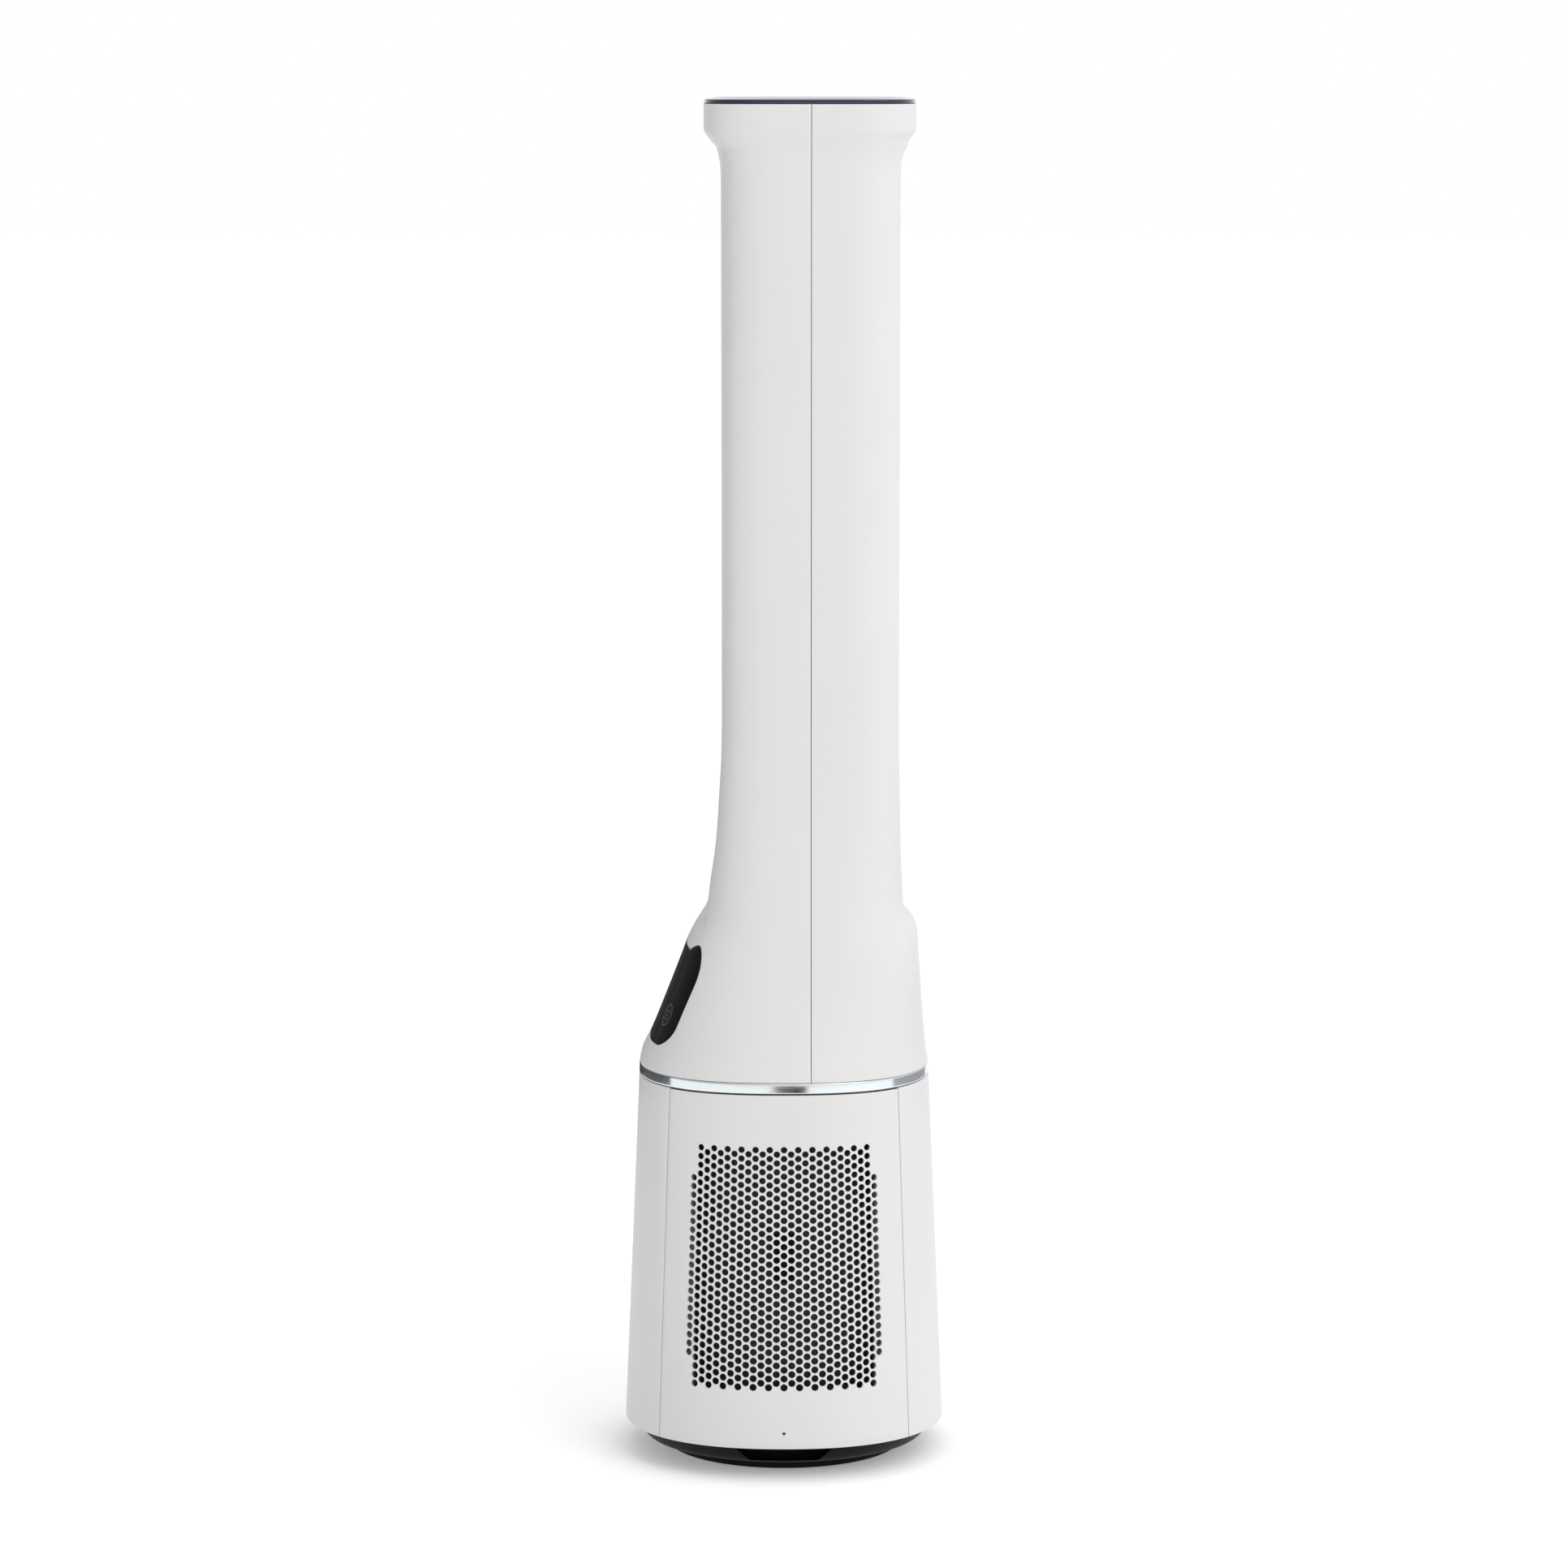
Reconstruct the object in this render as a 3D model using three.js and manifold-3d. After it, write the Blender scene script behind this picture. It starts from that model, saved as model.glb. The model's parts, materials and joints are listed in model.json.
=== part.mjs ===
// A tower air purifier: a filter base with two side covers, and a two-wing fan tower that turns on its foot.
// Millimetres. +Z is up, the front faces -Y, and the origin is on the floor under the base's middle.
import * as THREE from 'three';
import { mergeVertices } from 'three/addons/utils/BufferGeometryUtils.js';
import Module from 'manifold-3d';

// ---- Driving dimensions ----

// Overall
const overallHeight = 1120;
const baseWidth = 265; // across the base at its lower edge, the same both ways
const fit = 0.3; // clearance between pieces that touch

// Base walls
const baseBottom = 26.8; // lower edge of the covers and panels
const baseTop = 318.2; // upper edge of the covers and panels
const baseLean = 12.3; // how far each wall leans in from its lower to its upper edge
const baseWall = 2.5;
const basePowerLow = 2.25; // roundness of the base's section: 2 is a circle, 4 is nearly square
const basePowerHigh = 2.5;
const seamShare = 0.777; // how far along Y the cover seams stand, as a share of the half width
const coverTilt = 0.6; // room above and below a cover for its tilt

// Bright ring
const ringHeight = 9.5; // from the base to the ring's upper edge
const ringWall = 3;

// Tower shells
const shellWall = 2.4;
const seamY = 22; // plane where the front and rear shells meet
const lidHeight = 5;
const lidSlopeWidth = 12; // from the lid's outside to its flat top
const lidInset = 0.7; // from the shells' outside to the lid's
const lidSlopeHeight = 1.4;
const lidPlugDepth = 6; // how far the lid reaches down inside the shells
const lidPlugWall = 2;
const lidSkin = 1; // the plug's hollow stops this far under the lid

// The tower's surface: height above the base, then how far the front, rear and side have come in
// from the base's upper edge, then the section's roundness.
const shoulder = [
  [0, 0, 0, 0, 2.5],
  [17, 2.6, 2, 2.4, 2.55],
  [30, 8.8, 3.4, 6.8, 2.62],
  [63, 22.4, 6.2, 16.2, 2.85],
  [107, 39.4, 9, 26.2, 3.1],
  [118, 44.8, 10, 28.7, 3.15],
  [128, 50.9, 13.9, 31.2, 3.2],
  [139, 54.9, 21.2, 33.7, 3.25],
  [156, 58.3, 22, 36.2, 3.4],
  [202, 63.8, 23.5, 40.7, 3.7],
  [242, 66.5, 24.3, 43.2, 3.9],
  [283, 68.5, 25.2, 44.7, 4],
];
// The same at the top, with the depth below the shells' upper edge.
const crown = [
  [61, 68.5, 25.2, 41.2, 4],
  [42, 66.9, 23.4, 39.2, 4],
  [33, 64.2, 20, 37.7, 4],
  [22.5, 56.2, 13.9, 35.4, 4],
  [18.5, 54.9, 12.9, 34.4, 4],
  [0, 54.9, 12.9, 33.9, 4],
];

// Gap between the wings
const gapHalfFoot = 30;
const gapHalfTop = 27;
const gapFloorRise = 143.5; // from the base's upper edge
const gapHeadroom = 32; // from the gap's ceiling to the shells' upper edge
const gapPanelWall = 2.2;
const mouthHalf = 67; // half width of the flared mouth where it meets the lens
const mouthDrop = 1; // below the lens's upper edge, so nothing is left between them
const mouthStep = 21; // height of the flare's lower, steeper stretch
const mouthStepIn = 15; // how far the flare comes in over that stretch
const mouthToe = 8; // how far outside the gap's wall the flare is at the floor's level
const mouthToeRise = 5; // from the floor to where the flare meets the gap's wall

// Outlet slots and vanes
const slotRear = 51;
const slotFront = 39;
const slotRise = 28.3; // from the gap's floor to the slot's lower end
const slotHeadroom = 14; // from the slot's end to the gap's ceiling
const vaneEndGap = 5; // from the slot's ends to the vane's ends
const vaneRoom = 4.3; // from a gap panel's inner face to its vane's axis
const vaneChord = 11;
const vaneThickness = 1.6;
const vanePin = 2;
const vaneMotorRadius = 10;
const vaneMotorDrop = 9.7; // below the gap's floor
const vaneMotorHeight = 18;

// Display
const lensRise = 29.8; // from the base's upper edge
const lensHeight = 78;
const lensHalf = 74;
const lensLowWide = 20; // lower corners' width and height
const lensLowTall = 22;
const lensHighWide = 10; // upper corners' width and height
const lensHighTall = 26;
const lensEar = 4; // how far the lens's upper corners rise above its middle
const lensEarWide = 6;
const lensEarSlope = 10; // from an ear to the straight middle
const boardThickness = 1.6;
const boardSetback = 9; // from the lens's face to the display board
const boardWidth = 90;
const boardInLow = 14; // from the lens's lower edge to the board's
const boardInHigh = 12;

// Foot and swivel
const footRadius = 97.7;
const footBottom = 1.2;
const footTop = 8.3;
const rubberRadius = 9;
const rubberCircle = 82;
const rubberHeight = 3.7;
const plinthInset = 8.5; // from the base wall to the plinth's upper edge
const plinthWall = 3;
const plinthFloorBottom = 10.6;
const plinthFloorTop = 13;
const plinthHole = 66;
const plinthGap = 0.5; // under the base walls
const plinthBends = [1.4, 4.4]; // heights above the floor plate where the outside bends
// How far the plinth's outside has come in, from its lower edge to its upper edge, and its roundness there.
const plinthInsets = [20, 10, 6.5, 0];
const plinthPowers = [2.1, 2.15, 2.2, 2.3];
const recessTopHalf = 42; // finger recess under each cover
const recessBottomHalf = 28;
const recessDepth = 11;
const gearModule = 2;
const ringTeeth = 45;
const pinionTeeth = 9;
const gearTop = 12.7;
const ringGearBore = 36;
const bearingInner = 70;
const bearingOuter = 80;
const hubRadius = 71;
const hubThickness = 3;
const spigotRadius = 20;
const spigotBore = 14;
const spigotStep = 4; // from the spigot down to the neck that carries the retaining ring
const retainerRadius = 28;
const retainerSeat = 4; // plate left above the retaining ring
const retainerPlay = 0.1; // lets the ring turn under its seat
const retainerLift = 0.4; // above the foot's underside
const toothTipShare = 0.13; // half a tooth's width at its tip and root, as shares of the tooth pitch
const toothRootShare = 0.27;
const toothTip = 0.9; // above and below the pitch circle, in modules
const toothRoot = 1.2;
const swivelMotorRadius = 14;
const swivelMotorHeight = 23;
const swivelSocketDepth = 6;

// Power inlet and electronics
const inletHalf = 14;
const inletBottom = 38;
const inletTop = 58;
const inletDepth = 22;
const inletWall = 3;
const inletSetback = 1; // from the base's wall
const inletPin = 1; // half a contact pin's thickness
const inletPinOffset = 4;
const mainBoardHalf = 45;
const mainBoardRear = -15; // nearest and farthest edges from the middle
const mainBoardFront = -75;
const mainBoardRise = 24; // above the swivel hub
const standoffRadius = 2.5;
const standoffX = 35;
const standoffYs = [-45, -25];
const capacitorRadius = 5;
const capacitorHeight = 11;
const capacitorXs = [-25, 0, 25];
const capacitorY = -60;
const chip = { x0: -12, x1: 18, y0: -45, y1: -25, height: 5 };

// Filters
const trayBottom = 60;
const trayThickness = 3;
const filterInner = 66;
const filterGap = 28.5; // from the base's half width at its lower edge to the filter's outside
const filterTopGap = 6; // under the fan deck
const prefilterWall = 2;
const postSide = 7;
const filterSlack = 0.5; // between each filter's end and the middle plane
const tabThickness = 1.2;
const tabHalfWidth = 9;
const tabHalfHeight = 20;
const catchSide = 8; // a cover catch is this deep and high, and twice as wide

// Fan
const deckDepth = 14.2;
const deckPlate = 3.2;
const deckInset = 1.5; // from the base wall's inside to the deck
const deckRim = 3;
const bossRadius = 6;
const screwRadius = 2.5;
const screwHeadRadius = 4.5;
const screwHeadHeight = 2.5;
const inletRadius = 52;
const impellerRadius = 72;
const impellerRise = 3.8; // above the deck
const impellerHeight = 47;
const impellerDisc = 2.5;
const impellerShroud = 2;
const bossRise = 12; // from the impeller's lower edge to its boss
const impellerBoss = 14;
const bladeCount = 9;
const bladeRoot = 30;
const bladeBow = [52, -3]; // the blade's middle control point
const bladeSweep = 24; // how far its tip trails
const bladeTipIn = 3;
const bladeOffset = [0.6, 1.8]; // from one face to the other
const nutRadius = 9;
const nutHeight = 6;
const shaftRadius = 4;
const motorRadius = 30;
const motorGap = 9; // between the impeller and its motor
const motorHeight = 42.7;
const motorCapHeight = 4;
const motorCapIn = 10;
const shaftInMotor = 4;
const bracketThickness = 3;
const bracketArm = 18;
const bracketBore = 8;
const guideGap = 6; // from the impeller to the guide round it
const guideWall = 2;
const guideHeight = 58; // from the impeller's lower edge

// ---- Derived places ----

const baseHalf = baseWidth / 2;
const topHalf = baseHalf - baseLean;
const shellTop = overallHeight - lidHeight;
const ringTop = baseTop + ringHeight;
const gapFloor = baseTop + gapFloorRise;
const lensBottom = baseTop + lensRise;
const lensTop = lensBottom + lensHeight;
const mouthBottom = lensTop - mouthDrop;
const slotBottom = gapFloor + slotRise;
const vaneMotorTop = gapFloor - vaneMotorDrop;
const impellerBottom = baseTop + impellerRise;
const motorBottom = impellerBottom + impellerHeight + motorGap;
const bracketBottom = motorBottom + motorHeight + fit;
const ceiling = shellTop - gapHeadroom;
const filterOuter = baseHalf - filterGap;
const filterBottom = trayBottom + trayThickness + fit;
const deckBottom = baseTop - deckDepth;
const filterTop = deckBottom - filterTopGap;
const postInner = filterOuter + prefilterWall + 4 * fit;
const postCentre = postInner + postSide / 2;
const vaneX = gapHalfFoot + gapPanelWall + vaneRoom;
const vaneY = (slotFront + slotRear) / 2;
const pinionDistance = (gearModule * (ringTeeth + pinionTeeth)) / 2;
const hubBottom = plinthFloorTop + fit;
const hubTop = hubBottom + hubThickness;
const corners = [45, 135, 225, 315]; // degrees round from +X
const far = 4 * baseWidth; // reaches past the whole section in every cut
const bothSides = [['right', 1], ['left', -1]];

// Facets round a curve
const fine = 32;
const middling = 24;
const coarse = 12;

// ---- Materials ----

function finish(colour, roughness, metalness = 0) {
  return new THREE.MeshStandardMaterial({ color: colour, roughness, metalness });
}

const whiteShell = finish(0xe2e2e1, 0.42);
const blackPlastic = finish(0x141414, 0.5);
const brightRing = finish(0xb9c0c3, 0.18, 1);
const smokedLens = finish(0x15181a, 0.08);
const navyLid = finish(0x1b2245, 0.12);
const filterPaper = finish(0xe9e7df, 0.95);
const darkMesh = finish(0x1b1c1e, 0.8);
const greyPlastic = finish(0x8d9192, 0.55);
const steel = finish(0x9a9da0, 0.35, 1);
const nylon = finish(0xdcd8cc, 0.6);
const rubber = finish(0x1c1c1c, 0.9);
const board = finish(0x1f5a3a, 0.5);

// ---- Solids ----

const wasm = await Module();
wasm.setup();

function solid(geometry) {
  const bare = geometry.index ? geometry.toNonIndexed() : geometry.clone();
  bare.deleteAttribute('normal');
  bare.deleteAttribute('uv');
  const merged = mergeVertices(bare, 1e-4);
  const corners = [];
  for (let i = 0; i < merged.index.count; i += 3) {
    const [a, b, c] = [0, 1, 2].map((step) => merged.index.getX(i + step));
    if (a !== b && b !== c && c !== a) corners.push(a, b, c);
  }
  return new wasm.Manifold(new wasm.Mesh({
    numProp: 3,
    vertProperties: merged.attributes.position.array,
    triVerts: new Uint32Array(corners),
  }));
}

const purifier = new THREE.Group();
purifier.name = 'tower_air_purifier';

function add(name, shape, material, place = [0, 0, 0]) {
  const { vertProperties, triVerts, numProp } = shape.getMesh();
  const positions = new Float32Array(triVerts.length * 3);
  triVerts.forEach((corner, i) => {
    for (let axis = 0; axis < 3; axis++) positions[i * 3 + axis] = vertProperties[corner * numProp + axis];
  });
  const geometry = new THREE.BufferGeometry();
  geometry.setAttribute('position', new THREE.BufferAttribute(positions, 3));
  geometry.computeVertexNormals();
  const piece = new THREE.Mesh(geometry, material);
  piece.name = name;
  piece.position.set(...place);
  purifier.add(piece);
}

function box(x0, x1, y0, y1, z0, z1) {
  const geometry = new THREE.BoxGeometry(x1 - x0, y1 - y0, z1 - z0);
  geometry.translate((x0 + x1) / 2, (y0 + y1) / 2, (z0 + z1) / 2);
  return solid(geometry);
}

// An upright cylinder.
function rod(radius, z0, z1, { x = 0, y = 0, sides = fine } = {}) {
  const geometry = new THREE.CylinderGeometry(radius, radius, z1 - z0, sides);
  geometry.rotateX(Math.PI / 2);
  geometry.translate(x, y, (z0 + z1) / 2);
  return solid(geometry);
}

// An outline in plan, raised from z0 to z1.
function raised(shape, z0, z1, curveSegments = 12) {
  const geometry = new THREE.ExtrudeGeometry(shape, { depth: z1 - z0, bevelEnabled: false, curveSegments });
  geometry.translate(0, 0, z0);
  return solid(geometry);
}

// An outline seen from the front (X and Z), run from y0 to y1.
function runThrough(shape, y0, y1, curveSegments = 8) {
  const geometry = new THREE.ExtrudeGeometry(shape, { depth: y1 - y0, bevelEnabled: false, curveSegments });
  geometry.rotateX(Math.PI / 2);
  geometry.translate(0, y1, 0);
  return solid(geometry);
}

function outline(points) {
  return new THREE.Shape(points.map(([x, y]) => new THREE.Vector2(x, y)));
}

function onCircle(radius, degrees) {
  const angle = THREE.MathUtils.degToRad(degrees);
  return [radius * Math.cos(angle), radius * Math.sin(angle)];
}

// A flat ring, or a part of one between two angles.
function ringShape(inner, outer, start = 0, end = 2 * Math.PI) {
  const shape = new THREE.Shape();
  if (end - start < 2 * Math.PI) {
    shape.absarc(0, 0, outer, start, end, false);
    shape.absarc(0, 0, inner, end, start, true);
    return shape;
  }
  shape.absarc(0, 0, outer, 0, 2 * Math.PI, false);
  const hole = new THREE.Path();
  hole.absarc(0, 0, inner, 0, 2 * Math.PI, true);
  shape.holes.push(hole);
  return shape;
}

// Row values at a height, straight between the rows of a list that is sorted by its first value.
function rowAt(rows, height) {
  const last = rows.length - 1;
  if (height <= rows[0][0]) return rows[0];
  if (height >= rows[last][0]) return rows[last];
  const upper = rows.findIndex((row) => row[0] >= height);
  const [low, high] = [rows[upper - 1], rows[upper]];
  const share = (height - low[0]) / (high[0] - low[0]);
  return low.map((value, i) => value + share * (high[i] - value));
}

const towerRows = [
  ...shoulder.map(([up, ...rest]) => [baseTop + up, ...rest]),
  ...crown.map(([down, ...rest]) => [shellTop - down, ...rest]),
];

function towerSection(z) {
  const [, frontIn, rearIn, sideIn, power] = rowAt(towerRows, z);
  const front = topHalf - frontIn;
  const rear = topHalf - rearIn;
  return { middle: (rear - front) / 2, halfX: topHalf - sideIn, halfY: (rear + front) / 2, power };
}

function baseSection(z) {
  const share = (z - baseBottom) / (baseTop - baseBottom);
  const half = baseHalf - baseLean * share;
  const power = basePowerLow + (basePowerHigh - basePowerLow) * share;
  return { middle: 0, halfX: half, halfY: half, power };
}

// A closed solid through rounded-square sections at the given levels, drawn in by inset all round.
function loft(levels, sectionAt, inset = 0, sides = fine) {
  const steps = levels.length - 1;
  const geometry = new THREE.CylinderGeometry(1, 1, 1, sides, steps);
  geometry.rotateX(Math.PI / 2);
  const at = geometry.attributes.position;
  for (let i = 0; i < at.count; i++) {
    const z = levels[Math.round((at.getZ(i) + 0.5) * steps)];
    const { middle, halfX, halfY, power } = sectionAt(z);
    const spread = Math.hypot(at.getX(i), at.getY(i));
    const across = spread > 0.5 ? at.getX(i) / spread : 0;
    const along = spread > 0.5 ? at.getY(i) / spread : 0;
    const x = Math.abs(across) / (halfX - inset);
    const y = Math.abs(along) / (halfY - inset);
    const reach = spread > 0.5 ? (x ** power + y ** power) ** (-1 / power) : 0;
    at.setXYZ(i, reach * across, middle + reach * along, z);
  }
  return solid(geometry);
}

// ---- Tower ----

const towerLevels = towerRows.map(([z]) => z);

function towerLoft(inset, from = baseTop + fit, to = shellTop) {
  const between = towerLevels.filter((z) => z > from && z < to);
  return loft([from, ...between, to], towerSection, inset);
}

const shellOuter = towerLoft(0);
const shellInner = towerLoft(shellWall, baseTop - shellWall, shellTop + shellWall);
const roomInside = towerLoft(shellWall + fit, baseTop - shellWall, shellTop + shellWall);
const skin = towerLoft(0, ringTop + fit).subtract(shellInner);

// The gap's outline from the front, with the flare above the lens, drawn in by inset.
function mouthOutline(inset) {
  return [
    [mouthHalf - inset, mouthBottom + inset],
    [mouthHalf - mouthStepIn - inset, mouthBottom + mouthStep],
    [gapHalfFoot + mouthToe - inset, gapFloor],
    [gapHalfFoot - inset, gapFloor + mouthToeRise],
  ];
}

function mirrored(half) {
  return outline([...half, ...half.toReversed().map(([x, z]) => [-x, z])]);
}

const frontMouth = runThrough(mirrored([...mouthOutline(0), [gapHalfTop, ceiling]]), -far, seamY);
const rearOutline = mirrored([[gapHalfFoot, gapFloor + fit], [gapHalfTop, ceiling]]);
const rearMouth = runThrough(rearOutline, seamY - 1, far);

// The display lens from the front: a flat lower edge, full round lower corners, small ears above.
function lensOutline(grow) {
  const half = lensHalf + grow;
  const bottom = lensBottom - grow;
  const top = lensTop + grow;
  const flat = lensHalf - lensLowWide;
  const corner = half - lensHighWide;
  const ear = corner - lensEarWide;
  const straight = ear - lensEarSlope;
  const shape = new THREE.Shape();
  shape.moveTo(-flat, bottom);
  shape.lineTo(flat, bottom);
  shape.quadraticCurveTo(half, bottom, half, bottom + lensLowTall);
  shape.lineTo(half, top - lensHighTall);
  shape.quadraticCurveTo(half, top, corner, top + lensEar);
  shape.lineTo(ear, top + lensEar);
  shape.lineTo(straight, top);
  shape.lineTo(-straight, top);
  shape.lineTo(-ear, top + lensEar);
  shape.lineTo(-corner, top + lensEar);
  shape.quadraticCurveTo(-half, top, -half, top - lensHighTall);
  shape.lineTo(-half, bottom + lensLowTall);
  shape.quadraticCurveTo(-half, bottom, -flat, bottom);
  return shape;
}

const lensHole = runThrough(lensOutline(fit), -far, 0);
const frontHalfSpace = box(-far, far, -far, seamY - fit / 2, 0, 2 * overallHeight);
const rearHalfSpace = box(-far, far, seamY + fit / 2, far, 0, 2 * overallHeight);

function makeTower() {
  const front = skin.intersect(frontHalfSpace).subtract(lensHole).subtract(frontMouth);
  add('front_shell', front, whiteShell);
  add('rear_shell', skin.intersect(rearHalfSpace).subtract(rearMouth), whiteShell);
  add('display_lens', skin.intersect(runThrough(lensOutline(0), -far, 0)), smokedLens);

  const ramp = skin.intersect(runThrough(mirrored(mouthOutline(fit)), -far, 0)).subtract(lensHole);
  const floorFront = -(topHalf - rowAt(towerRows, gapFloor)[1]) + shellWall / 2;
  const floor = box(fit - gapHalfFoot, gapHalfFoot - fit, floorFront, far, gapFloor - shellWall, gapFloor);
  const frontEdge = shellOuter.intersect(box(-far, far, -far, 0, 0, gapFloor));
  add('gap_saddle', ramp.add(floor.intersect(roomInside.add(frontEdge))), whiteShell);

  const panelBottom = gapFloor - 3 * shellWall;
  for (const [side, way] of bothSides) {
    const lean = (gapHalfFoot - gapHalfTop) / (ceiling - gapFloor);
    const inner = (z) => gapHalfFoot - lean * (z - gapFloor);
    const profile = outline([
      [way * inner(panelBottom), panelBottom],
      [way * (inner(panelBottom) + gapPanelWall), panelBottom],
      [way * (inner(ceiling) + gapPanelWall), ceiling + fit],
      [way * inner(ceiling), ceiling + fit],
    ]);
    const slot = box(-far, far, slotFront, slotRear, slotBottom, ceiling - slotHeadroom);
    const panel = runThrough(profile, -far, far).intersect(roomInside).subtract(slot);
    add(`gap_panel_${side}`, panel, whiteShell);
  }

  const plate = box(-far, far, -far, far, ceiling + 2 * fit, ceiling + 2 * fit + shellWall);
  let closing = plate.intersect(roomInside);
  for (const x of [-vaneX, vaneX]) {
    closing = closing.subtract(rod(vanePin + fit, 0, 2 * overallHeight, { x, y: vaneY, sides: coarse }));
  }
  add('ceiling_panel', closing, whiteShell);
}

function makeLid() {
  const seat = shellTop + fit;
  const edge = overallHeight - lidSlopeHeight;
  const lidSection = (z) => towerSection(Math.min(z, shellTop));
  const rim = loft([seat, edge], lidSection, lidInset);
  const sloped = slopedLid(edge, overallHeight, lidInset, lidSlopeWidth);
  const plugInset = shellWall + 2 * fit;
  const plug = loft([shellTop - lidPlugDepth, seat], lidSection, plugInset);
  const hollow = loft([shellTop - lidPlugDepth - 1, shellTop - lidSkin], lidSection, plugInset + lidPlugWall);
  add('top_lid', rim.add(sloped).add(plug).subtract(hollow), navyLid);
}

// The lid's crown: one section shrinking evenly towards its flat top.
function slopedLid(z0, z1, insetLow, insetHigh) {
  const { middle, halfX, halfY, power } = towerSection(shellTop);
  const shrinking = (z) => {
    const inset = insetLow + ((insetHigh - insetLow) * (z - z0)) / (z1 - z0);
    return { middle, halfX: halfX - inset, halfY: halfY - inset, power };
  };
  return loft([z0, z1], shrinking);
}

function makeRing() {
  const outer = towerLoft(0, baseTop + fit, ringTop);
  const inner = towerLoft(ringWall, baseTop, ringTop + 1);
  add('trim_ring', outer.subtract(inner), brightRing);
}

// ---- Base ----

const baseLevels = [baseBottom, baseBottom + 95, baseBottom + 190, baseTop];

function baseLoft(inset, from = baseBottom, to = baseTop) {
  const between = baseLevels.filter((z) => z > from && z < to);
  return loft([from, ...between, to], baseSection, inset, fine + 4);
}

// The space between the two cover seams; they stand wider apart at the foot. Grown by grow.
function coverSpace(grow) {
  const at = (z) => seamShare * baseSection(z).halfX + grow;
  const low = baseBottom - 10;
  const high = baseTop + 10;
  const shape = outline([[-at(low), low], [at(low), low], [at(high), high], [-at(high), high]]);
  const space = runThrough(shape, -far, far);
  return space.rotate([0, 0, 90]);
}

function makeBase() {
  const walls = baseLoft(0).subtract(baseLoft(baseWall, baseBottom - 1, baseTop + 1));
  const covers = walls.intersect(coverSpace(-fit / 2));
  const panels = walls.subtract(coverSpace(fit / 2));
  const inletHole = box(-inletHalf - fit, inletHalf + fit, 0, far, inletBottom - fit, inletTop + fit);
  const tiltRoom = box(-far, far, -far, far, baseTop - coverTilt, baseTop + 1);
  for (const [side, way] of bothSides) {
    const half = way > 0 ? box(0, far, -far, far, 0, far) : box(-far, 0, -far, far, 0, far);
    const cover = covers.intersect(half).subtract(tiltRoom);
    add(`side_cover_${side}`, cover, whiteShell);
  }
  add('base_front_panel', panels.intersect(box(-far, far, -far, 0, 0, far)), whiteShell);
  add('base_rear_panel', panels.intersect(box(-far, far, 0, far, 0, far)).subtract(inletHole), whiteShell);
}

function makeInlet() {
  const face = baseSection(inletTop).halfY - inletSetback;
  const back = face - inletDepth;
  const body = box(-inletHalf, inletHalf, back, face, inletBottom, inletTop);
  const half = inletHalf - inletWall;
  const socket = box(-half, half, back + inletWall, face + 1, inletBottom + inletWall, inletTop - inletWall);
  const middle = (inletBottom + inletTop) / 2;
  let inlet = body.subtract(socket);
  for (const x of [-inletPinOffset, inletPinOffset]) {
    const pin = box(x - inletPin, x + inletPin, back + 1, face - inletWall, -inletPin, inletPin);
    inlet = inlet.add(pin.translate([0, 0, middle]));
  }
  add('power_inlet', inlet, blackPlastic);
}

// ---- Plinth, foot and swivel ----

function plinthLevels() {
  const bends = plinthBends.map((up) => plinthFloorBottom + up);
  return [footTop + fit, ...bends, baseBottom - plinthGap];
}

function plinthSection(z) {
  const upper = baseHalf - plinthInset;
  const rows = plinthLevels().map((level, i) => [level, upper - plinthInsets[i], plinthPowers[i]]);
  const [, half, power] = rowAt(rows, z);
  return { middle: 0, halfX: half, halfY: half, power };
}

function makePlinth() {
  const levels = plinthLevels();
  const [, , bend, top] = levels;
  const outer = loft(levels, plinthSection);
  const hollow = loft([plinthFloorTop, bend, top + 1], plinthSection, plinthWall);
  const reach = plinthSection(top).halfX - recessDepth;
  const pocketHalf = recessTopHalf + plinthWall;
  const pocket = box(reach - plinthWall, far, -pocketHalf, pocketHalf, 0, far);
  let plinth = outer.subtract(hollow.subtract(pocket).subtract(pocket.rotate([0, 0, 180])));
  const low = plinthFloorTop - 1;
  const recess = runThrough(outline([
    [-recessBottomHalf, low], [recessBottomHalf, low], [recessTopHalf, top + 1], [-recessTopHalf, top + 1],
  ]), reach, far);
  plinth = plinth.subtract(recess.rotate([0, 0, 90])).subtract(recess.rotate([0, 0, -90]));
  plinth = plinth.subtract(rod(bearingOuter + 4, 0, plinthFloorBottom, { sides: middling }));
  plinth = plinth.subtract(rod(plinthHole, 0, far, { sides: middling }));
  add('plinth', plinth, blackPlastic);
}

function gearShape(teeth, bore) {
  const pitch = (gearModule * teeth) / 2;
  const tip = pitch + gearModule * toothTip;
  const root = pitch - gearModule * toothRoot;
  const tooth = [
    [root, -toothRootShare],
    [tip, -toothTipShare],
    [tip, toothTipShare],
    [root, toothRootShare],
  ];
  const turn = (2 * Math.PI) / teeth;
  const points = [];
  for (let count = 0; count < teeth; count++) {
    for (const [radius, share] of tooth) {
      const angle = (count + share) * turn;
      points.push([radius * Math.cos(angle), radius * Math.sin(angle)]);
    }
  }
  const shape = outline(points);
  if (bore > 0) {
    const hole = new THREE.Path();
    hole.absarc(0, 0, bore, 0, 2 * Math.PI, true);
    shape.holes.push(hole);
  }
  return shape;
}

// Degrees that bring a tooth (share 0) or a tooth space (share 0.5) to face the given direction.
function meshTurn(teeth, facing, share) {
  const pitch = 360 / teeth;
  return (((facing / pitch) % 1) - share) * pitch;
}

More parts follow.
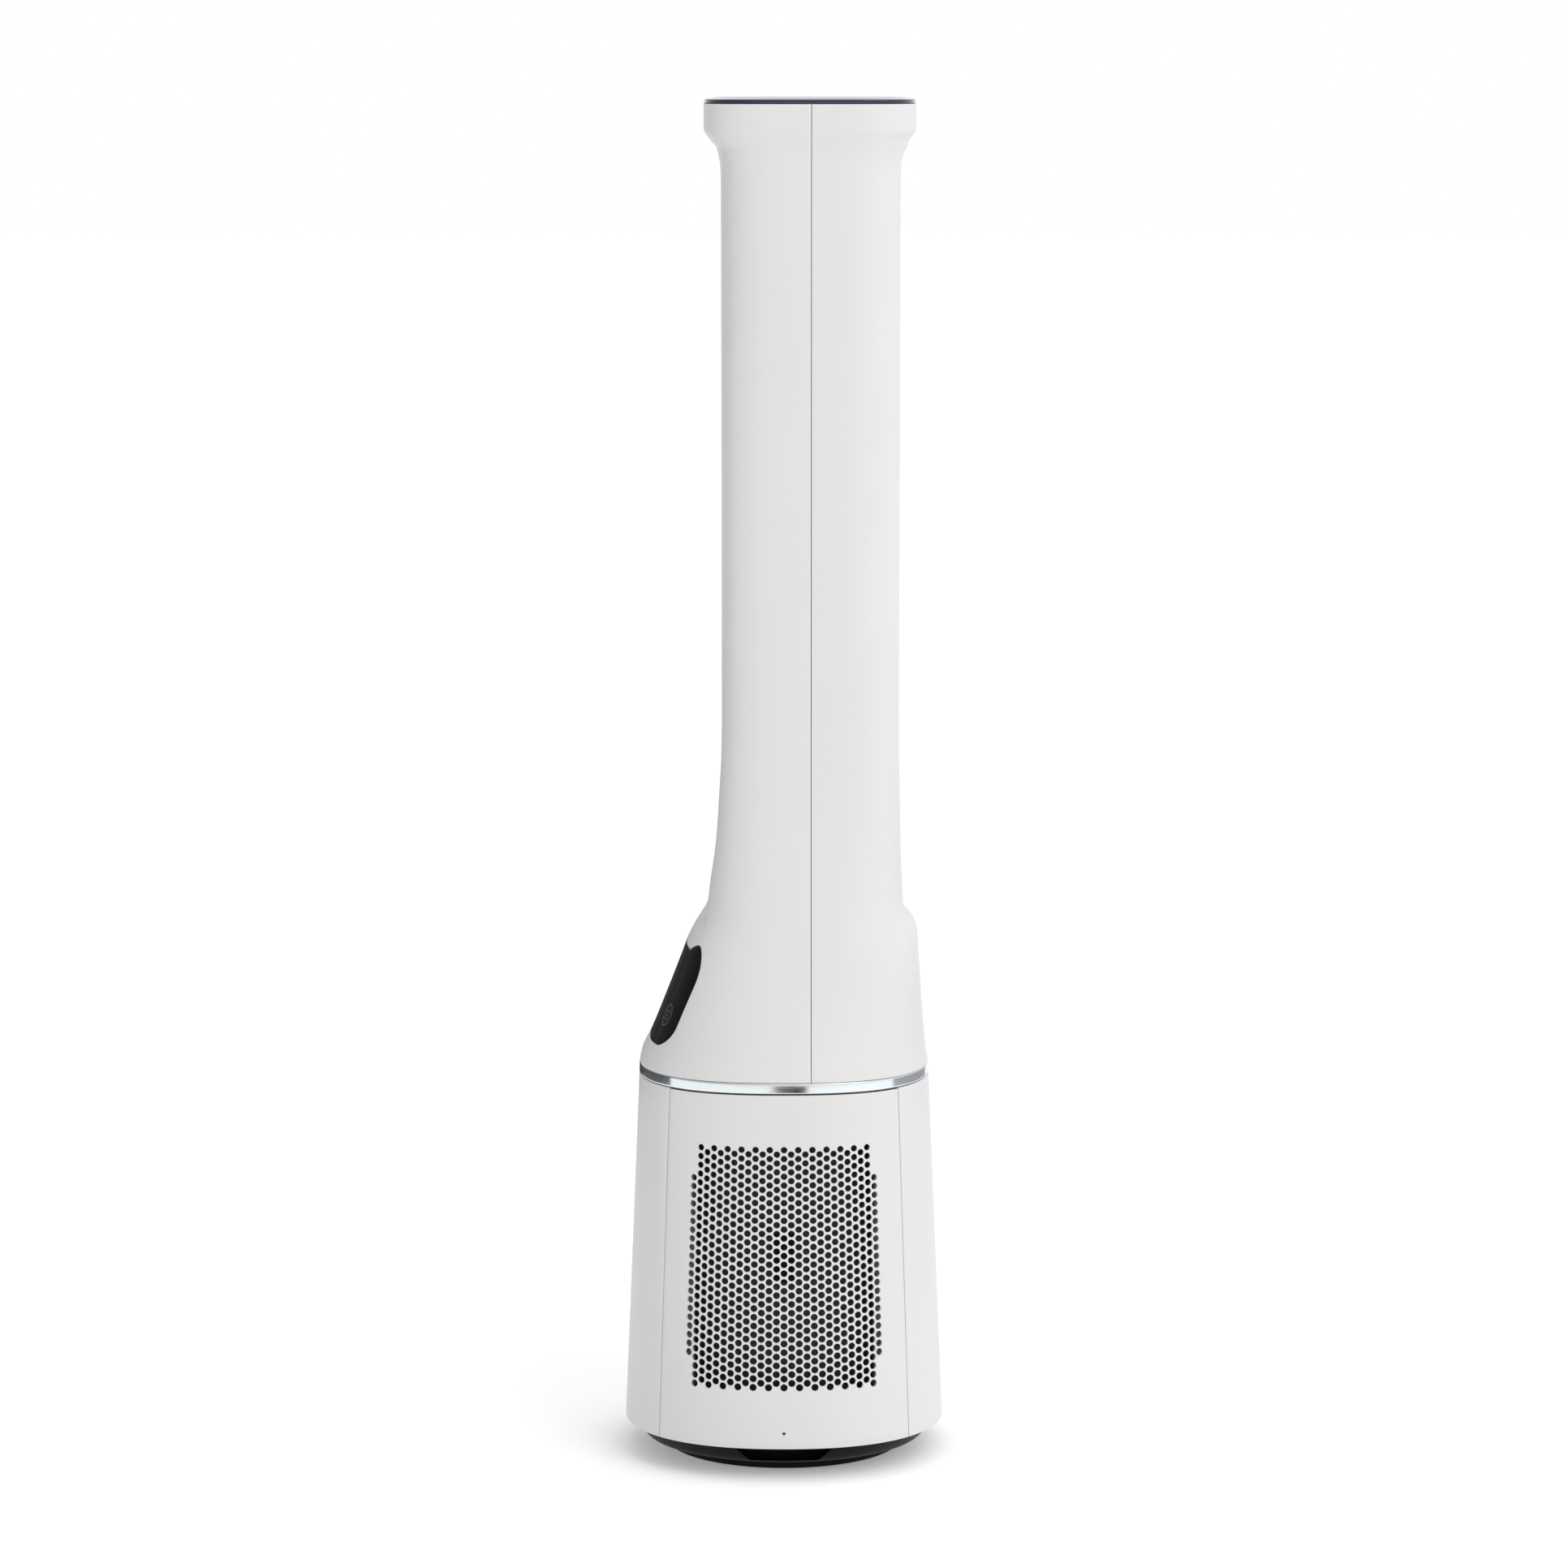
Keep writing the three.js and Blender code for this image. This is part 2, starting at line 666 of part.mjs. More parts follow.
function makeFoot() {
  let foot = rod(footRadius, footBottom, footTop, { sides: fine + 4 });
  foot = foot.subtract(rod(spigotRadius + fit, 0, far, { sides: middling }));
  foot = foot.subtract(rod(retainerRadius + fit, 0, footTop - retainerSeat, { sides: middling }));
  const places = corners.map((degrees) => onCircle(rubberCircle, degrees));
  places.forEach(([x, y], i) => {
    foot = foot.subtract(rod(rubberRadius + fit, 0, rubberHeight + fit, { x, y, sides: coarse }));
    const pad = rod(rubberRadius, 0, rubberHeight, { sides: coarse });
    add(`rubber_foot_${i + 1}`, pad, rubber, [x, y, 0]);
  });
  add('foot_disc', foot, blackPlastic);
  const gear = raised(gearShape(ringTeeth, ringGearBore), footTop + fit, gearTop, 8);
  add('ring_gear', gear.rotate([0, 0, meshTurn(ringTeeth, 90, 0)]), nylon);
  const bearing = ringShape(bearingInner, bearingOuter);
  add('bearing_ring', raised(bearing, footTop + fit, plinthFloorBottom - fit), nylon);
}

function makeSwivel() {
  const neckTop = footTop - retainerSeat - retainerPlay;
  const neck = spigotRadius - spigotStep;
  const neckBottom = footBottom + retainerLift;
  let hub = rod(hubRadius, hubBottom, hubTop);
  hub = hub.add(rod(spigotRadius, neckTop, hubBottom + 1, { sides: middling }));
  hub = hub.add(rod(neck, neckBottom, neckTop + 1, { sides: middling }));
  hub = hub.subtract(rod(spigotBore, 0, far, { sides: middling }));
  hub = hub.subtract(rod(shaftRadius, 0, far, { y: pinionDistance, sides: coarse }));
  add('swivel_hub', hub, greyPlastic);
  const retainer = ringShape(neck + fit, retainerRadius);
  add('hub_retaining_ring', raised(retainer, neckBottom, neckTop - fit), steel);

  const pinion = raised(gearShape(pinionTeeth, 0), footTop + 2 * fit, gearTop - fit);
  const shaft = rod(shaftRadius - 1, gearTop - 1, hubTop + swivelSocketDepth - 2, { sides: coarse });
  add('pinion_gear', pinion.add(shaft).rotate([0, 0, meshTurn(pinionTeeth, 270, 0.5)]), nylon,
    [0, pinionDistance, 0]);

  const base = hubTop + fit;
  let motor = rod(swivelMotorRadius, base, base + swivelMotorHeight);
  motor = motor.subtract(rod(shaftRadius, base - 1, base + swivelSocketDepth, { sides: coarse }));
  add('swivel_motor', motor, steel, [0, pinionDistance, 0]);
}

function makeBoards() {
  const level = hubTop + mainBoardRise;
  const upper = level + boardThickness;
  let main = box(-mainBoardHalf, mainBoardHalf, mainBoardFront, mainBoardRear, level, upper);
  for (const y of standoffYs) {
    for (const x of [-standoffX, standoffX]) {
      main = main.add(rod(standoffRadius, hubTop + fit, level + 0.5, { x, y, sides: coarse }));
    }
  }
  for (const x of capacitorXs) {
    const place = { x, y: capacitorY, sides: coarse };
    main = main.add(rod(capacitorRadius, level + 1, level + 1 + capacitorHeight, place));
  }
  main = main.add(box(chip.x0, chip.x1, chip.y0, chip.y1, level + 1, level + 1 + chip.height));
  add('main_board', main, board);

  const low = [lensBottom + boardInLow, lensTop - boardInHigh];
  const face = low.map((z) => topHalf - rowAt(towerRows, z)[1] - boardSetback);
  const lean = Math.atan2(face[0] - face[1], low[1] - low[0]);
  const height = Math.hypot(face[0] - face[1], low[1] - low[0]);
  const geometry = new THREE.BoxGeometry(boardWidth, boardThickness, height);
  geometry.rotateX(-lean);
  geometry.translate(0, -(face[0] + face[1]) / 2, (low[0] + low[1]) / 2);
  add('display_board', solid(geometry), board);
}

// ---- Filters ----

function makeFilters() {
  const tray = baseLoft(baseWall + 2, trayBottom, trayBottom + trayThickness);
  const postAt = (grow, z0, z1) => corners.map((degrees) => {
    const side = postSide / 2 + grow;
    return box(postCentre - side, postCentre + side, -side, side, z0, z1).rotate([0, 0, degrees]);
  });
  const posts = postAt(0, plinthFloorTop + fit, deckBottom - fit);
  const holes = postAt(fit, 0, far);
  add('filter_tray', holes.reduce((rest, hole) => rest.subtract(hole), tray), greyPlastic);
  posts.forEach((post, i) => add(`corner_post_${i + 1}`, post, greyPlastic));

  for (const [side, turn] of [['right', 0], ['left', 180]]) {
    const slack = filterSlack / filterInner;
    const start = -Math.PI / 2 + slack;
    const end = Math.PI / 2 - slack;
    const filter = raised(ringShape(filterInner, filterOuter, start, end), filterBottom, filterTop, 20);
    add(`filter_${side}`, filter.rotate([0, 0, turn]), filterPaper);
    const cloth = ringShape(filterOuter + fit, filterOuter + fit + prefilterWall, start, end);
    const prefilter = raised(cloth, filterBottom, filterTop, 20);
    add(`prefilter_${side}`, prefilter.rotate([0, 0, turn]), darkMesh);
    const tabAt = filterOuter + prefilterWall + 2 * fit;
    const middle = (filterBottom + filterTop) / 2;
    const tab = box(tabAt, tabAt + tabThickness, -tabHalfWidth, tabHalfWidth, middle - tabHalfHeight,
      middle + tabHalfHeight);
    add(`filter_tab_${side}`, tab.rotate([0, 0, turn]), blackPlastic);
  }
}

// ---- Fan ----

function makeDeck() {
  const outer = baseLoft(baseWall + deckInset, deckBottom, baseTop);
  const under = baseLoft(baseWall + deckInset + deckRim, deckBottom - 1, baseTop - deckPlate);
  const bosses = corners.map((degrees) => onCircle(postCentre, degrees));
  let deck = outer.subtract(under).subtract(rod(inletRadius, 0, far, { sides: middling }));
  bosses.forEach(([x, y]) => {
    deck = deck.add(rod(bossRadius, deckBottom, baseTop - 1, { x, y, sides: coarse }));
  });
  bosses.forEach(([x, y]) => {
    deck = deck.subtract(rod(screwRadius + fit, 0, far, { x, y, sides: coarse }));
  });
  add('fan_deck', deck, greyPlastic);
  bosses.forEach(([x, y], i) => {
    const seat = baseTop + fit;
    const stem = rod(screwRadius, deckBottom, seat + 0.5, { sides: coarse });
    const head = rod(screwHeadRadius, seat, seat + screwHeadHeight, { sides: coarse });
    add(`deck_screw_${i + 1}`, stem.add(head), steel, [x, y, 0]);
  });
}

function makeFan() {
  const top = impellerBottom + impellerHeight;
  const bossBottom = impellerBottom + bossRise;
  const shroud = ringShape(inletRadius, impellerRadius);
  let impeller = rod(impellerRadius, top - impellerDisc, top);
  impeller = impeller.add(rod(impellerBoss, bossBottom, top - 1, { sides: middling }));
  impeller = impeller.add(raised(shroud, impellerBottom, impellerBottom + impellerShroud));
  for (let blade = 0; blade < bladeCount; blade++) {
    const curve = new THREE.QuadraticBezierCurve(
      new THREE.Vector2(bladeRoot, 0),
      new THREE.Vector2(...bladeBow),
      new THREE.Vector2(impellerRadius - bladeTipIn, -bladeSweep),
    );
    const front = curve.getPoints(3).map(({ x, y }) => [x, y]);
    const back = front.map(([x, y]) => [x + bladeOffset[0], y + bladeOffset[1]]);
    const shape = outline([...back, ...front.toReversed()]);
    const solidBlade = raised(shape, impellerBottom + 1, top - 1);
    impeller = impeller.add(solidBlade.rotate([0, 0, (360 / bladeCount) * blade]));
  }
  impeller = impeller.subtract(rod(shaftRadius + fit, 0, far, { sides: coarse }));
  add('impeller', impeller, greyPlastic);

  const shaft = rod(shaftRadius, impellerBottom + 1, motorBottom + shaftInMotor, { sides: coarse });
  add('motor_shaft', shaft, steel);
  const nut = rod(nutRadius, bossBottom - nutHeight, bossBottom - fit, { sides: 6 });
  add('impeller_nut', nut.subtract(rod(shaftRadius + fit, 0, far, { sides: coarse })), steel);

  const motorTop = motorBottom + motorHeight;
  let motor = rod(motorRadius, motorBottom, motorTop - motorCapHeight);
  motor = motor.add(rod(motorRadius - motorCapIn, motorBottom, motorTop, { sides: middling }));
  motor = motor.subtract(rod(shaftRadius + fit, 0, motorBottom + shaftInMotor + 1, { sides: coarse }));
  add('fan_motor', motor, steel);

  const arm = bracketArm / 2;
  const bracketTop = bracketBottom + bracketThickness;
  const cross = box(-far, far, -arm, arm, bracketBottom, bracketTop)
    .add(box(-arm, arm, -far, far, bracketBottom, bracketTop))
    .add(rod(motorRadius, bracketBottom, bracketTop, { sides: middling }));
  const bore = rod(bracketBore, 0, far, { sides: middling });
  add('motor_bracket', cross.intersect(roomInside).subtract(bore), steel);

  const guideInner = impellerRadius + guideGap;
  const guideRing = ringShape(guideInner, guideInner + guideWall);
  const guide = raised(guideRing, baseTop + fit, impellerBottom + guideHeight, 18);
  add('flow_guide', guide, greyPlastic);
}

function makeVanes() {
  const vaneBottom = slotBottom + vaneEndGap;
  const vaneTop = ceiling - slotHeadroom - vaneEndGap;
  for (const [side, way] of bothSides) {
    const place = [way * vaneX, vaneY, 0];
    const half = vaneChord / 2;
    let vane = box(-vaneThickness / 2, vaneThickness / 2, -half, half, vaneBottom, vaneTop);
    vane = vane.add(rod(vanePin, vaneBottom, ceiling + shellWall, { sides: coarse }));
    add(`outlet_vane_${side}`, vane, blackPlastic, place);
    let motor = rod(vaneMotorRadius, vaneMotorTop - vaneMotorHeight, vaneMotorTop, { sides: middling });
    motor = motor.add(rod(vanePin, vaneMotorTop - 1, vaneBottom - fit, { sides: coarse }));
    add(`vane_motor_${side}`, motor, steel, place);
  }
}

function makeCatches() {
  for (const [side, way] of bothSides) {
    const x = plinthSection(baseBottom).halfX - recessDepth - plinthWall;
    const catchBlock = box(x - catchSide, x, -catchSide, catchSide, baseBottom, baseBottom + catchSide);
    add(`cover_catch_${side}`, catchBlock.rotate([0, 0, way > 0 ? 0 : 180]), blackPlastic);
  }
}

makeTower();
makeLid();
makeRing();
makeBase();
makeInlet();
makePlinth();
makeFoot();
makeSwivel();
makeBoards();
makeFilters();
makeDeck();
makeFan();
makeVanes();
makeCatches();

export default purifier;
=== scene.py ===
# Looks of a tower air purifier: perforated filter base, bright ring, two hollow wings with a gap.
import bisect
import json
import math

import bmesh
import bpy
from mathutils import Matrix, Vector


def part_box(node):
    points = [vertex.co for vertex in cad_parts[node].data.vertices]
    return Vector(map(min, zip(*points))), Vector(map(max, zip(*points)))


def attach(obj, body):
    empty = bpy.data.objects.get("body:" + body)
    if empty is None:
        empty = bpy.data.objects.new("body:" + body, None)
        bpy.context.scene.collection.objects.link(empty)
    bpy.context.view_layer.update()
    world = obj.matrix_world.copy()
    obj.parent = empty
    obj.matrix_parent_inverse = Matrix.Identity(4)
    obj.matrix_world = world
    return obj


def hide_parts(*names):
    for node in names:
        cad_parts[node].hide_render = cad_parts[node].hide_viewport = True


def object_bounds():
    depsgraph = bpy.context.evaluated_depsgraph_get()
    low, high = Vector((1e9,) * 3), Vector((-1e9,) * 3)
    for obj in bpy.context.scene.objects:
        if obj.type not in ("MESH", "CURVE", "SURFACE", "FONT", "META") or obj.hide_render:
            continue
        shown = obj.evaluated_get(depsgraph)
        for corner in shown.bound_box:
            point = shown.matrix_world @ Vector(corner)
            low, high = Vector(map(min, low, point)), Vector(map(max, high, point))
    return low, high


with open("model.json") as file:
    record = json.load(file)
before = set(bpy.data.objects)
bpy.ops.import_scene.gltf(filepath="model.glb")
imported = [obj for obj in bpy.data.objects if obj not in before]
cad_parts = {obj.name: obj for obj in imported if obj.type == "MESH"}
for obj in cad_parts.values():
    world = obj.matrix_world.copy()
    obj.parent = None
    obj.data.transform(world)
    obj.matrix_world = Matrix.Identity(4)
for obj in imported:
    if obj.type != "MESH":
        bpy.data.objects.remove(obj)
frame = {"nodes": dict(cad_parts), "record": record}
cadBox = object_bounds()
mm = 0.001
twoPi = 2 * math.pi

# ---- Small tools ----


def mix(a, b, share):
    return a + (b - a) * share


def ease(share):
    share = min(max(share, 0.0), 1.0)
    return share * share * (3 - 2 * share)


def smoothProfile(rows):
    # Rows of (height, value, value...) become one curve that never overshoots between two rows.
    heights = [row[0] for row in rows]
    count = len(rows[0]) - 1
    steps = [heights[k + 1] - heights[k] for k in range(len(rows) - 1)]
    slopes = []
    for column in range(1, count + 1):
        rise = [(rows[k + 1][column] - rows[k][column]) / steps[k] for k in range(len(steps))]
        tangent = [rise[0]]
        for k in range(1, len(steps)):
            low, high = rise[k - 1], rise[k]
            tangent.append(0 if low * high <= 0 else 2 * low * high / (low + high))
        slopes.append(tangent + [rise[-1]])

    def at(height):
        height = min(max(height, heights[0]), heights[-1])
        k = max(i for i in range(len(steps)) if heights[i] <= height or i == 0)
        t = (height - heights[k]) / steps[k]
        values = []
        for column in range(1, count + 1):
            a, b = rows[k][column], rows[k + 1][column]
            m, n = slopes[column - 1][k] * steps[k], slopes[column - 1][k + 1] * steps[k]
            values.append((2 * t**3 - 3 * t**2 + 1) * a + (t**3 - 2 * t**2 + t) * m
                          + (3 * t**2 - 2 * t**3) * b + (t**3 - t**2) * n)
        return values

    return at


def gridSheet(columns, rows, place, keep=None):
    # A sheet of columns x rows faces, each corner put where place(column, row) says.
    bm = bmesh.new()
    bmesh.ops.create_grid(bm, x_segments=columns, y_segments=rows, size=0.5)
    index = {v: (round((v.co.x + 0.5) * columns), round((v.co.y + 0.5) * rows)) for v in bm.verts}
    if keep:
        cell = {f: [min(index[v][axis] for v in f.verts) for axis in (0, 1)] for f in bm.faces}
        bmesh.ops.delete(bm, geom=[f for f in bm.faces if not keep(*cell[f])], context="FACES")
    for v in bm.verts:
        v.co = place(*index[v])
    return bm


def weld(bm, distance=0.00002):
    bmesh.ops.remove_doubles(bm, verts=bm.verts[:], dist=distance)
    bmesh.ops.dissolve_degenerate(bm, edges=bm.edges[:], dist=distance / 2)
    bmesh.ops.recalc_face_normals(bm, faces=bm.faces[:])


def faceOut(bm, outward):
    # Turns an open sheet so that its largest share of faces looks the way outward(face) says.
    bmesh.ops.recalc_face_normals(bm, faces=bm.faces[:])
    votes = 0.0
    for f in bm.faces:
        looksOut = f.normal.dot(outward(f.calc_center_median())) > 0
        votes += f.calc_area() if looksOut else -f.calc_area()
    if votes < 0:
        bmesh.ops.reverse_faces(bm, faces=bm.faces[:])


def thicken(bm, wall):
    # Gives an open sheet a wall inwards, with its outer face where it was.
    bmesh.ops.solidify(bm, geom=bm.faces[:], thickness=wall * mm)


def roundEdges(bm, width, angle=50, segments=2, test=None):
    edges = [e for e in bm.edges if len(e.link_faces) == 2 and e.calc_face_angle(0) > math.radians(angle)
             and (test is None or test(e))]
    bmesh.ops.bevel(bm, geom=edges, offset=width * mm, offset_type="OFFSET", affect="EDGES", segments=segments,
                    profile=0.5, material=-1, clamp_overlap=True)


def mirrorX(bm):
    bmesh.ops.mirror(bm, geom=bm.verts[:] + bm.edges[:] + bm.faces[:], merge_dist=0.00003, axis="X")


def joined(meshes):
    # One bmesh from several, freed after use.
    whole = bmesh.new()
    for bm in meshes:
        spare = bpy.data.meshes.new("spare")
        bm.to_mesh(spare)
        whole.from_mesh(spare)
        bm.free()
        bpy.data.meshes.remove(spare)
    return whole


def makePiece(name, bm, body, slot, replaces=(), sharp=35):
    mesh = bpy.data.meshes.new(name)
    bm.to_mesh(mesh)
    bm.free()
    for polygon in mesh.polygons:
        polygon.use_smooth = True
    mesh.set_sharp_from_angle(angle=math.radians(sharp))
    mesh.materials.append(finishes[slot])
    piece = bpy.data.objects.new(name, mesh)
    bpy.context.scene.collection.objects.link(piece)
    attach(piece, body)
    if replaces:
        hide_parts(*replaces)
    return piece


# ---- Materials ----


def linearColour(hexColour):
    parts = [int(hexColour[i:i + 2], 16) / 255 for i in (1, 3, 5)]
    return [c / 12.92 if c <= 0.04045 else ((c + 0.055) / 1.055) ** 2.4 for c in parts] + [1.0]


def addNode(material, kind, inputs=None, **settings):
    node = material.node_tree.nodes.new(kind)
    for key, value in settings.items():
        setattr(node, key, value)
    for key, value in (inputs or {}).items():
        socket = node.inputs[key]
        if isinstance(value, bpy.types.NodeSocket):
            material.node_tree.links.new(value, socket)
        else:
            socket.default_value = value
    return node


def newMaterial(name, **sockets):
    material = bpy.data.materials.new(name)
    material.use_nodes = True
    shader = material.node_tree.nodes["Principled BSDF"]
    for key, value in sockets.items():
        shader.inputs[key.replace("_", " ")].default_value = value
    return material, shader


def objectPoint(material):
    return addNode(material, "ShaderNodeTexCoord").outputs["Object"]


def drive(material, shader, socket, output):
    material.node_tree.links.new(output, shader.inputs[socket])


def noise(material, point, scale, detail):
    inputs = {"Vector": point, "Scale": scale, "Detail": detail}
    return addNode(material, "ShaderNodeTexNoise", inputs).outputs["Fac"]


def spread(material, value, start, end, low, high):
    # Turns a value between start and end into one between low and high.
    inputs = {"Value": value, "From Min": start, "From Max": end, "To Min": low, "To Max": high}
    return addNode(material, "ShaderNodeMapRange", inputs).outputs["Result"]


def blend(material, share, first, second):
    inputs = {"Fac": share, "Color1": linearColour(first), "Color2": linearColour(second)}
    return addNode(material, "ShaderNodeMixRGB", inputs).outputs["Color"]


def raiseBy(material, shader, height, strength, depth):
    inputs = {"Strength": strength, "Distance": depth * mm, "Height": height}
    drive(material, shader, "Normal", addNode(material, "ShaderNodeBump", inputs).outputs["Normal"])


def mouldedAbs(name, tint, shade, roughness, grain=0.9, height=0.006, shine=0.5):
    # Injection-moulded ABS: a faint spark-eroded grain breaks up the shine, and the tint drifts a little.
    # The real grain is about 0.1 mm; it is drawn coarser so that it shows at all.
    material, shader = newMaterial(name, Roughness=roughness, IOR=1.53, Specular_IOR_Level=shine)
    point = objectPoint(material)
    drive(material, shader, "Base Color", blend(material, noise(material, point, 9.0, 2.0), tint, shade))
    spark = noise(material, point, 1 / (grain * mm), 3.0)
    drive(material, shader, "Roughness", spread(material, spark, 0.3, 0.7, roughness - 0.04, roughness + 0.05))
    raiseBy(material, shader, spark, 0.25, height)
    return material


def platedRing():
    # Plated and brushed round its length: bright, with fine upright streaks that widen the highlights.
    material, shader = newMaterial("platedBrushedRing", Metallic=1.0, Base_Color=linearColour("#E4E9EC"))
    turned = {"Vector": objectPoint(material), "Scale": (40, 40, 2500)}
    stretched = addNode(material, "ShaderNodeMapping", turned).outputs["Vector"]
    lines = noise(material, stretched, 1.0, 2.0)
    drive(material, shader, "Roughness", spread(material, lines, 0.3, 0.7, 0.1, 0.18))
    raiseBy(material, shader, lines, 0.15, 0.004)
    return material


def glossyPlastic(name, tint, roughness, coat=0.6):
    # Polished acrylic over a dark print: deep colour under a clear skin, with faint wiping haze.
    material, shader = newMaterial(name, IOR=1.49, Base_Color=linearColour(tint), Coat_Weight=coat,
                                   Coat_Roughness=0.03)
    haze = noise(material, objectPoint(material), 55.0, 4.0)
    drive(material, shader, "Roughness", spread(material, haze, 0.35, 0.75, roughness, roughness + 0.05))
    return material


def pleatedPaper():
    # Glass-fibre filter paper: soft off-white felt with a fine fibrous tooth.
    material, shader = newMaterial("pleatedFilterPaper", Roughness=0.95)
    fibre = noise(material, objectPoint(material), 1400.0, 5.0)
    drive(material, shader, "Base Color", blend(material, fibre, "#F1EFE8", "#D9D6CB"))
    raiseBy(material, shader, fibre, 0.5, 0.05)
    return material


def wovenMesh():
    # Woven nylon pre-filter: a dark square weave, one thread about every 0.8 mm.
    material, shader = newMaterial("wovenNylonMesh", Roughness=0.7)
    pitch = 0.8 * mm
    inputs = {"Vector": objectPoint(material), "Scale": twoPi / pitch / 20, "Distortion": 0.0}
    warp = addNode(material, "ShaderNodeTexWave", inputs, bands_direction="Y").outputs["Fac"]
    weft = addNode(material, "ShaderNodeTexWave", inputs, bands_direction="Z").outputs["Fac"]
    inputs = {0: warp, 1: weft}
    cloth = addNode(material, "ShaderNodeMath", inputs, operation="MULTIPLY").outputs["Value"]
    drive(material, shader, "Base Color", blend(material, cloth, "#2C2D2F", "#0B0B0C"))
    raiseBy(material, shader, cloth, 0.6, 0.2)
    return material


def zincSteel():
    # Zinc-plated sheet steel: cool grey with soft crystal patches and rolling lines.
    material, shader = newMaterial("zincPlatedSteel", Metallic=1.0)
    inputs = {"Vector": objectPoint(material), "Scale": 260.0}
    spangle = addNode(material, "ShaderNodeTexVoronoi", inputs).outputs["Distance"]
    drive(material, shader, "Base Color", blend(material, spangle, "#B9BCBE", "#8F9396"))
    drive(material, shader, "Roughness", spread(material, spangle, 0.0, 0.8, 0.28, 0.45))
    return material


def solderMask():
    # Glass-epoxy board under green solder mask, with copper tracks showing as lighter lines.
    material, shader = newMaterial("greenCircuitBoard", Roughness=0.4)
    inputs = {"Vector": objectPoint(material), "Scale": 190.0}
    tracks = addNode(material, "ShaderNodeTexVoronoi", inputs, distance="CHEBYCHEV").outputs["Distance"]
    edge = spread(material, tracks, 0.42, 0.5, 0.0, 1.0)
    drive(material, shader, "Base Color", blend(material, edge, "#1C5235", "#3E8A5A"))
    return material


finishes = {
    "white_shell": mouldedAbs("whiteMouldedAbs", "#E9E9E9", "#E5E5E4", 0.42),
    "black_plastic": mouldedAbs("blackMouldedAbs", "#090909", "#0D0D0C", 0.45, shine=0.12),
    "bright_ring": platedRing(),
    "smoked_lens": glossyPlastic("smokedAcrylic", "#07090A", 0.06, coat=0.25),
    "navy_lid": glossyPlastic("navyAcrylic", "#10173A", 0.08),
    "filter_paper": pleatedPaper(),
    "dark_mesh": wovenMesh(),
    "grey_plastic": mouldedAbs("greyMouldedAbs", "#8C8F91", "#85888A", 0.5),
    "steel": zincSteel(),
    "nylon": mouldedAbs("naturalNylon", "#DDD8CB", "#D5D0C2", 0.5),
    "rubber": mouldedAbs("blackRubber", "#1B1B1B", "#151515", 0.85, grain=0.6, height=0.02),
    "circuit_board": solderMask(),
}

for row in frame["record"]["subparts"]:
    node = frame["nodes"][row["node"]]
    for k in range(len(node.material_slots)):
        node.material_slots[k].material = finishes[row["material_slot"]]
print("materials made and given to the CAD nodes")

# ---- Camera, floor and light ----

studio = {
    "cameraPlace": (4.4766, 0.0, 1.1584),  # on the +X side, a little above the lid
    "cameraAim": (0.0, 0.0, 0.5565),
    "lens": 125.46,
    "sensor": 36.0,
    "floorSize": 60.0,
    "floorWhite": 0.98,
    "floorGlow": 0.26,
    "worldLight": 0.95,
    "frontLight": 0.5,
    "lightFade": (-0.9, 0.4),  # the room brightens from front to rear between these shares of Y
    "keyPlace": (2.6, 1.9, 3.2),
    "keyAim": (0.0, 0.0, 0.6),
    "keySize": 2.4,
    "keyPower": 30.0,
    # Only gloss sees these grey cards: direction and distance from the middle, width, height, grey.
    "cards": [(2.5, 1.3, 0.21, 0.3, 0.02), (-120, 1.5, 1.7, 1.1, 0.1), (118, 1.5, 2.0, 0.3, 0.5),
              (-168, 1.5, 1.1, 0.5, 0.06)],
}


def aimAt(thing, target):
    thing.rotation_euler = (Vector(target) - thing.location).to_track_quat("-Z", "Y").to_euler()


def flatPiece(name, width, height, turn, grey, glow=0.0):
    # A plain matt sheet that belongs to the studio, not to the machine.
    bm = bmesh.new()
    bmesh.ops.create_grid(bm, x_segments=1, y_segments=1, size=0.5)
    bmesh.ops.scale(bm, verts=bm.verts, vec=(width, height, 1))
    bmesh.ops.transform(bm, verts=bm.verts, matrix=turn)
    mesh = bpy.data.meshes.new(name)
    bm.to_mesh(mesh)
    bm.free()
    ink, shader = newMaterial(f"{name}Grey", Roughness=1.0, Specular_IOR_Level=0.0)
    shader.inputs["Base Color"].default_value = (*grey, 1.0)
    if glow:
        shader.inputs["Emission Color"].default_value = (1.0, 1.0, 1.0, 1.0)
        bounced = addNode(ink, "ShaderNodeLightPath").outputs["Is Diffuse Ray"]
        drive(ink, shader, "Emission Strength", spread(ink, bounced, 0.0, 1.0, glow, 0.0))
    mesh.materials.append(ink)
    piece = bpy.data.objects.new(name, mesh)
    bpy.context.scene.collection.objects.link(piece)
    return piece


def makeCamera(scene):
    scene.view_settings.view_transform = "Standard"
    scene.view_settings.look = "None"
    data = bpy.data.cameras.new("camera")
    data.lens, data.sensor_width = studio["lens"], studio["sensor"]
    camera = bpy.data.objects.new("camera", data)
    scene.collection.objects.link(camera)
    camera.location = studio["cameraPlace"]
    aimAt(camera, studio["cameraAim"])
    scene.camera = camera


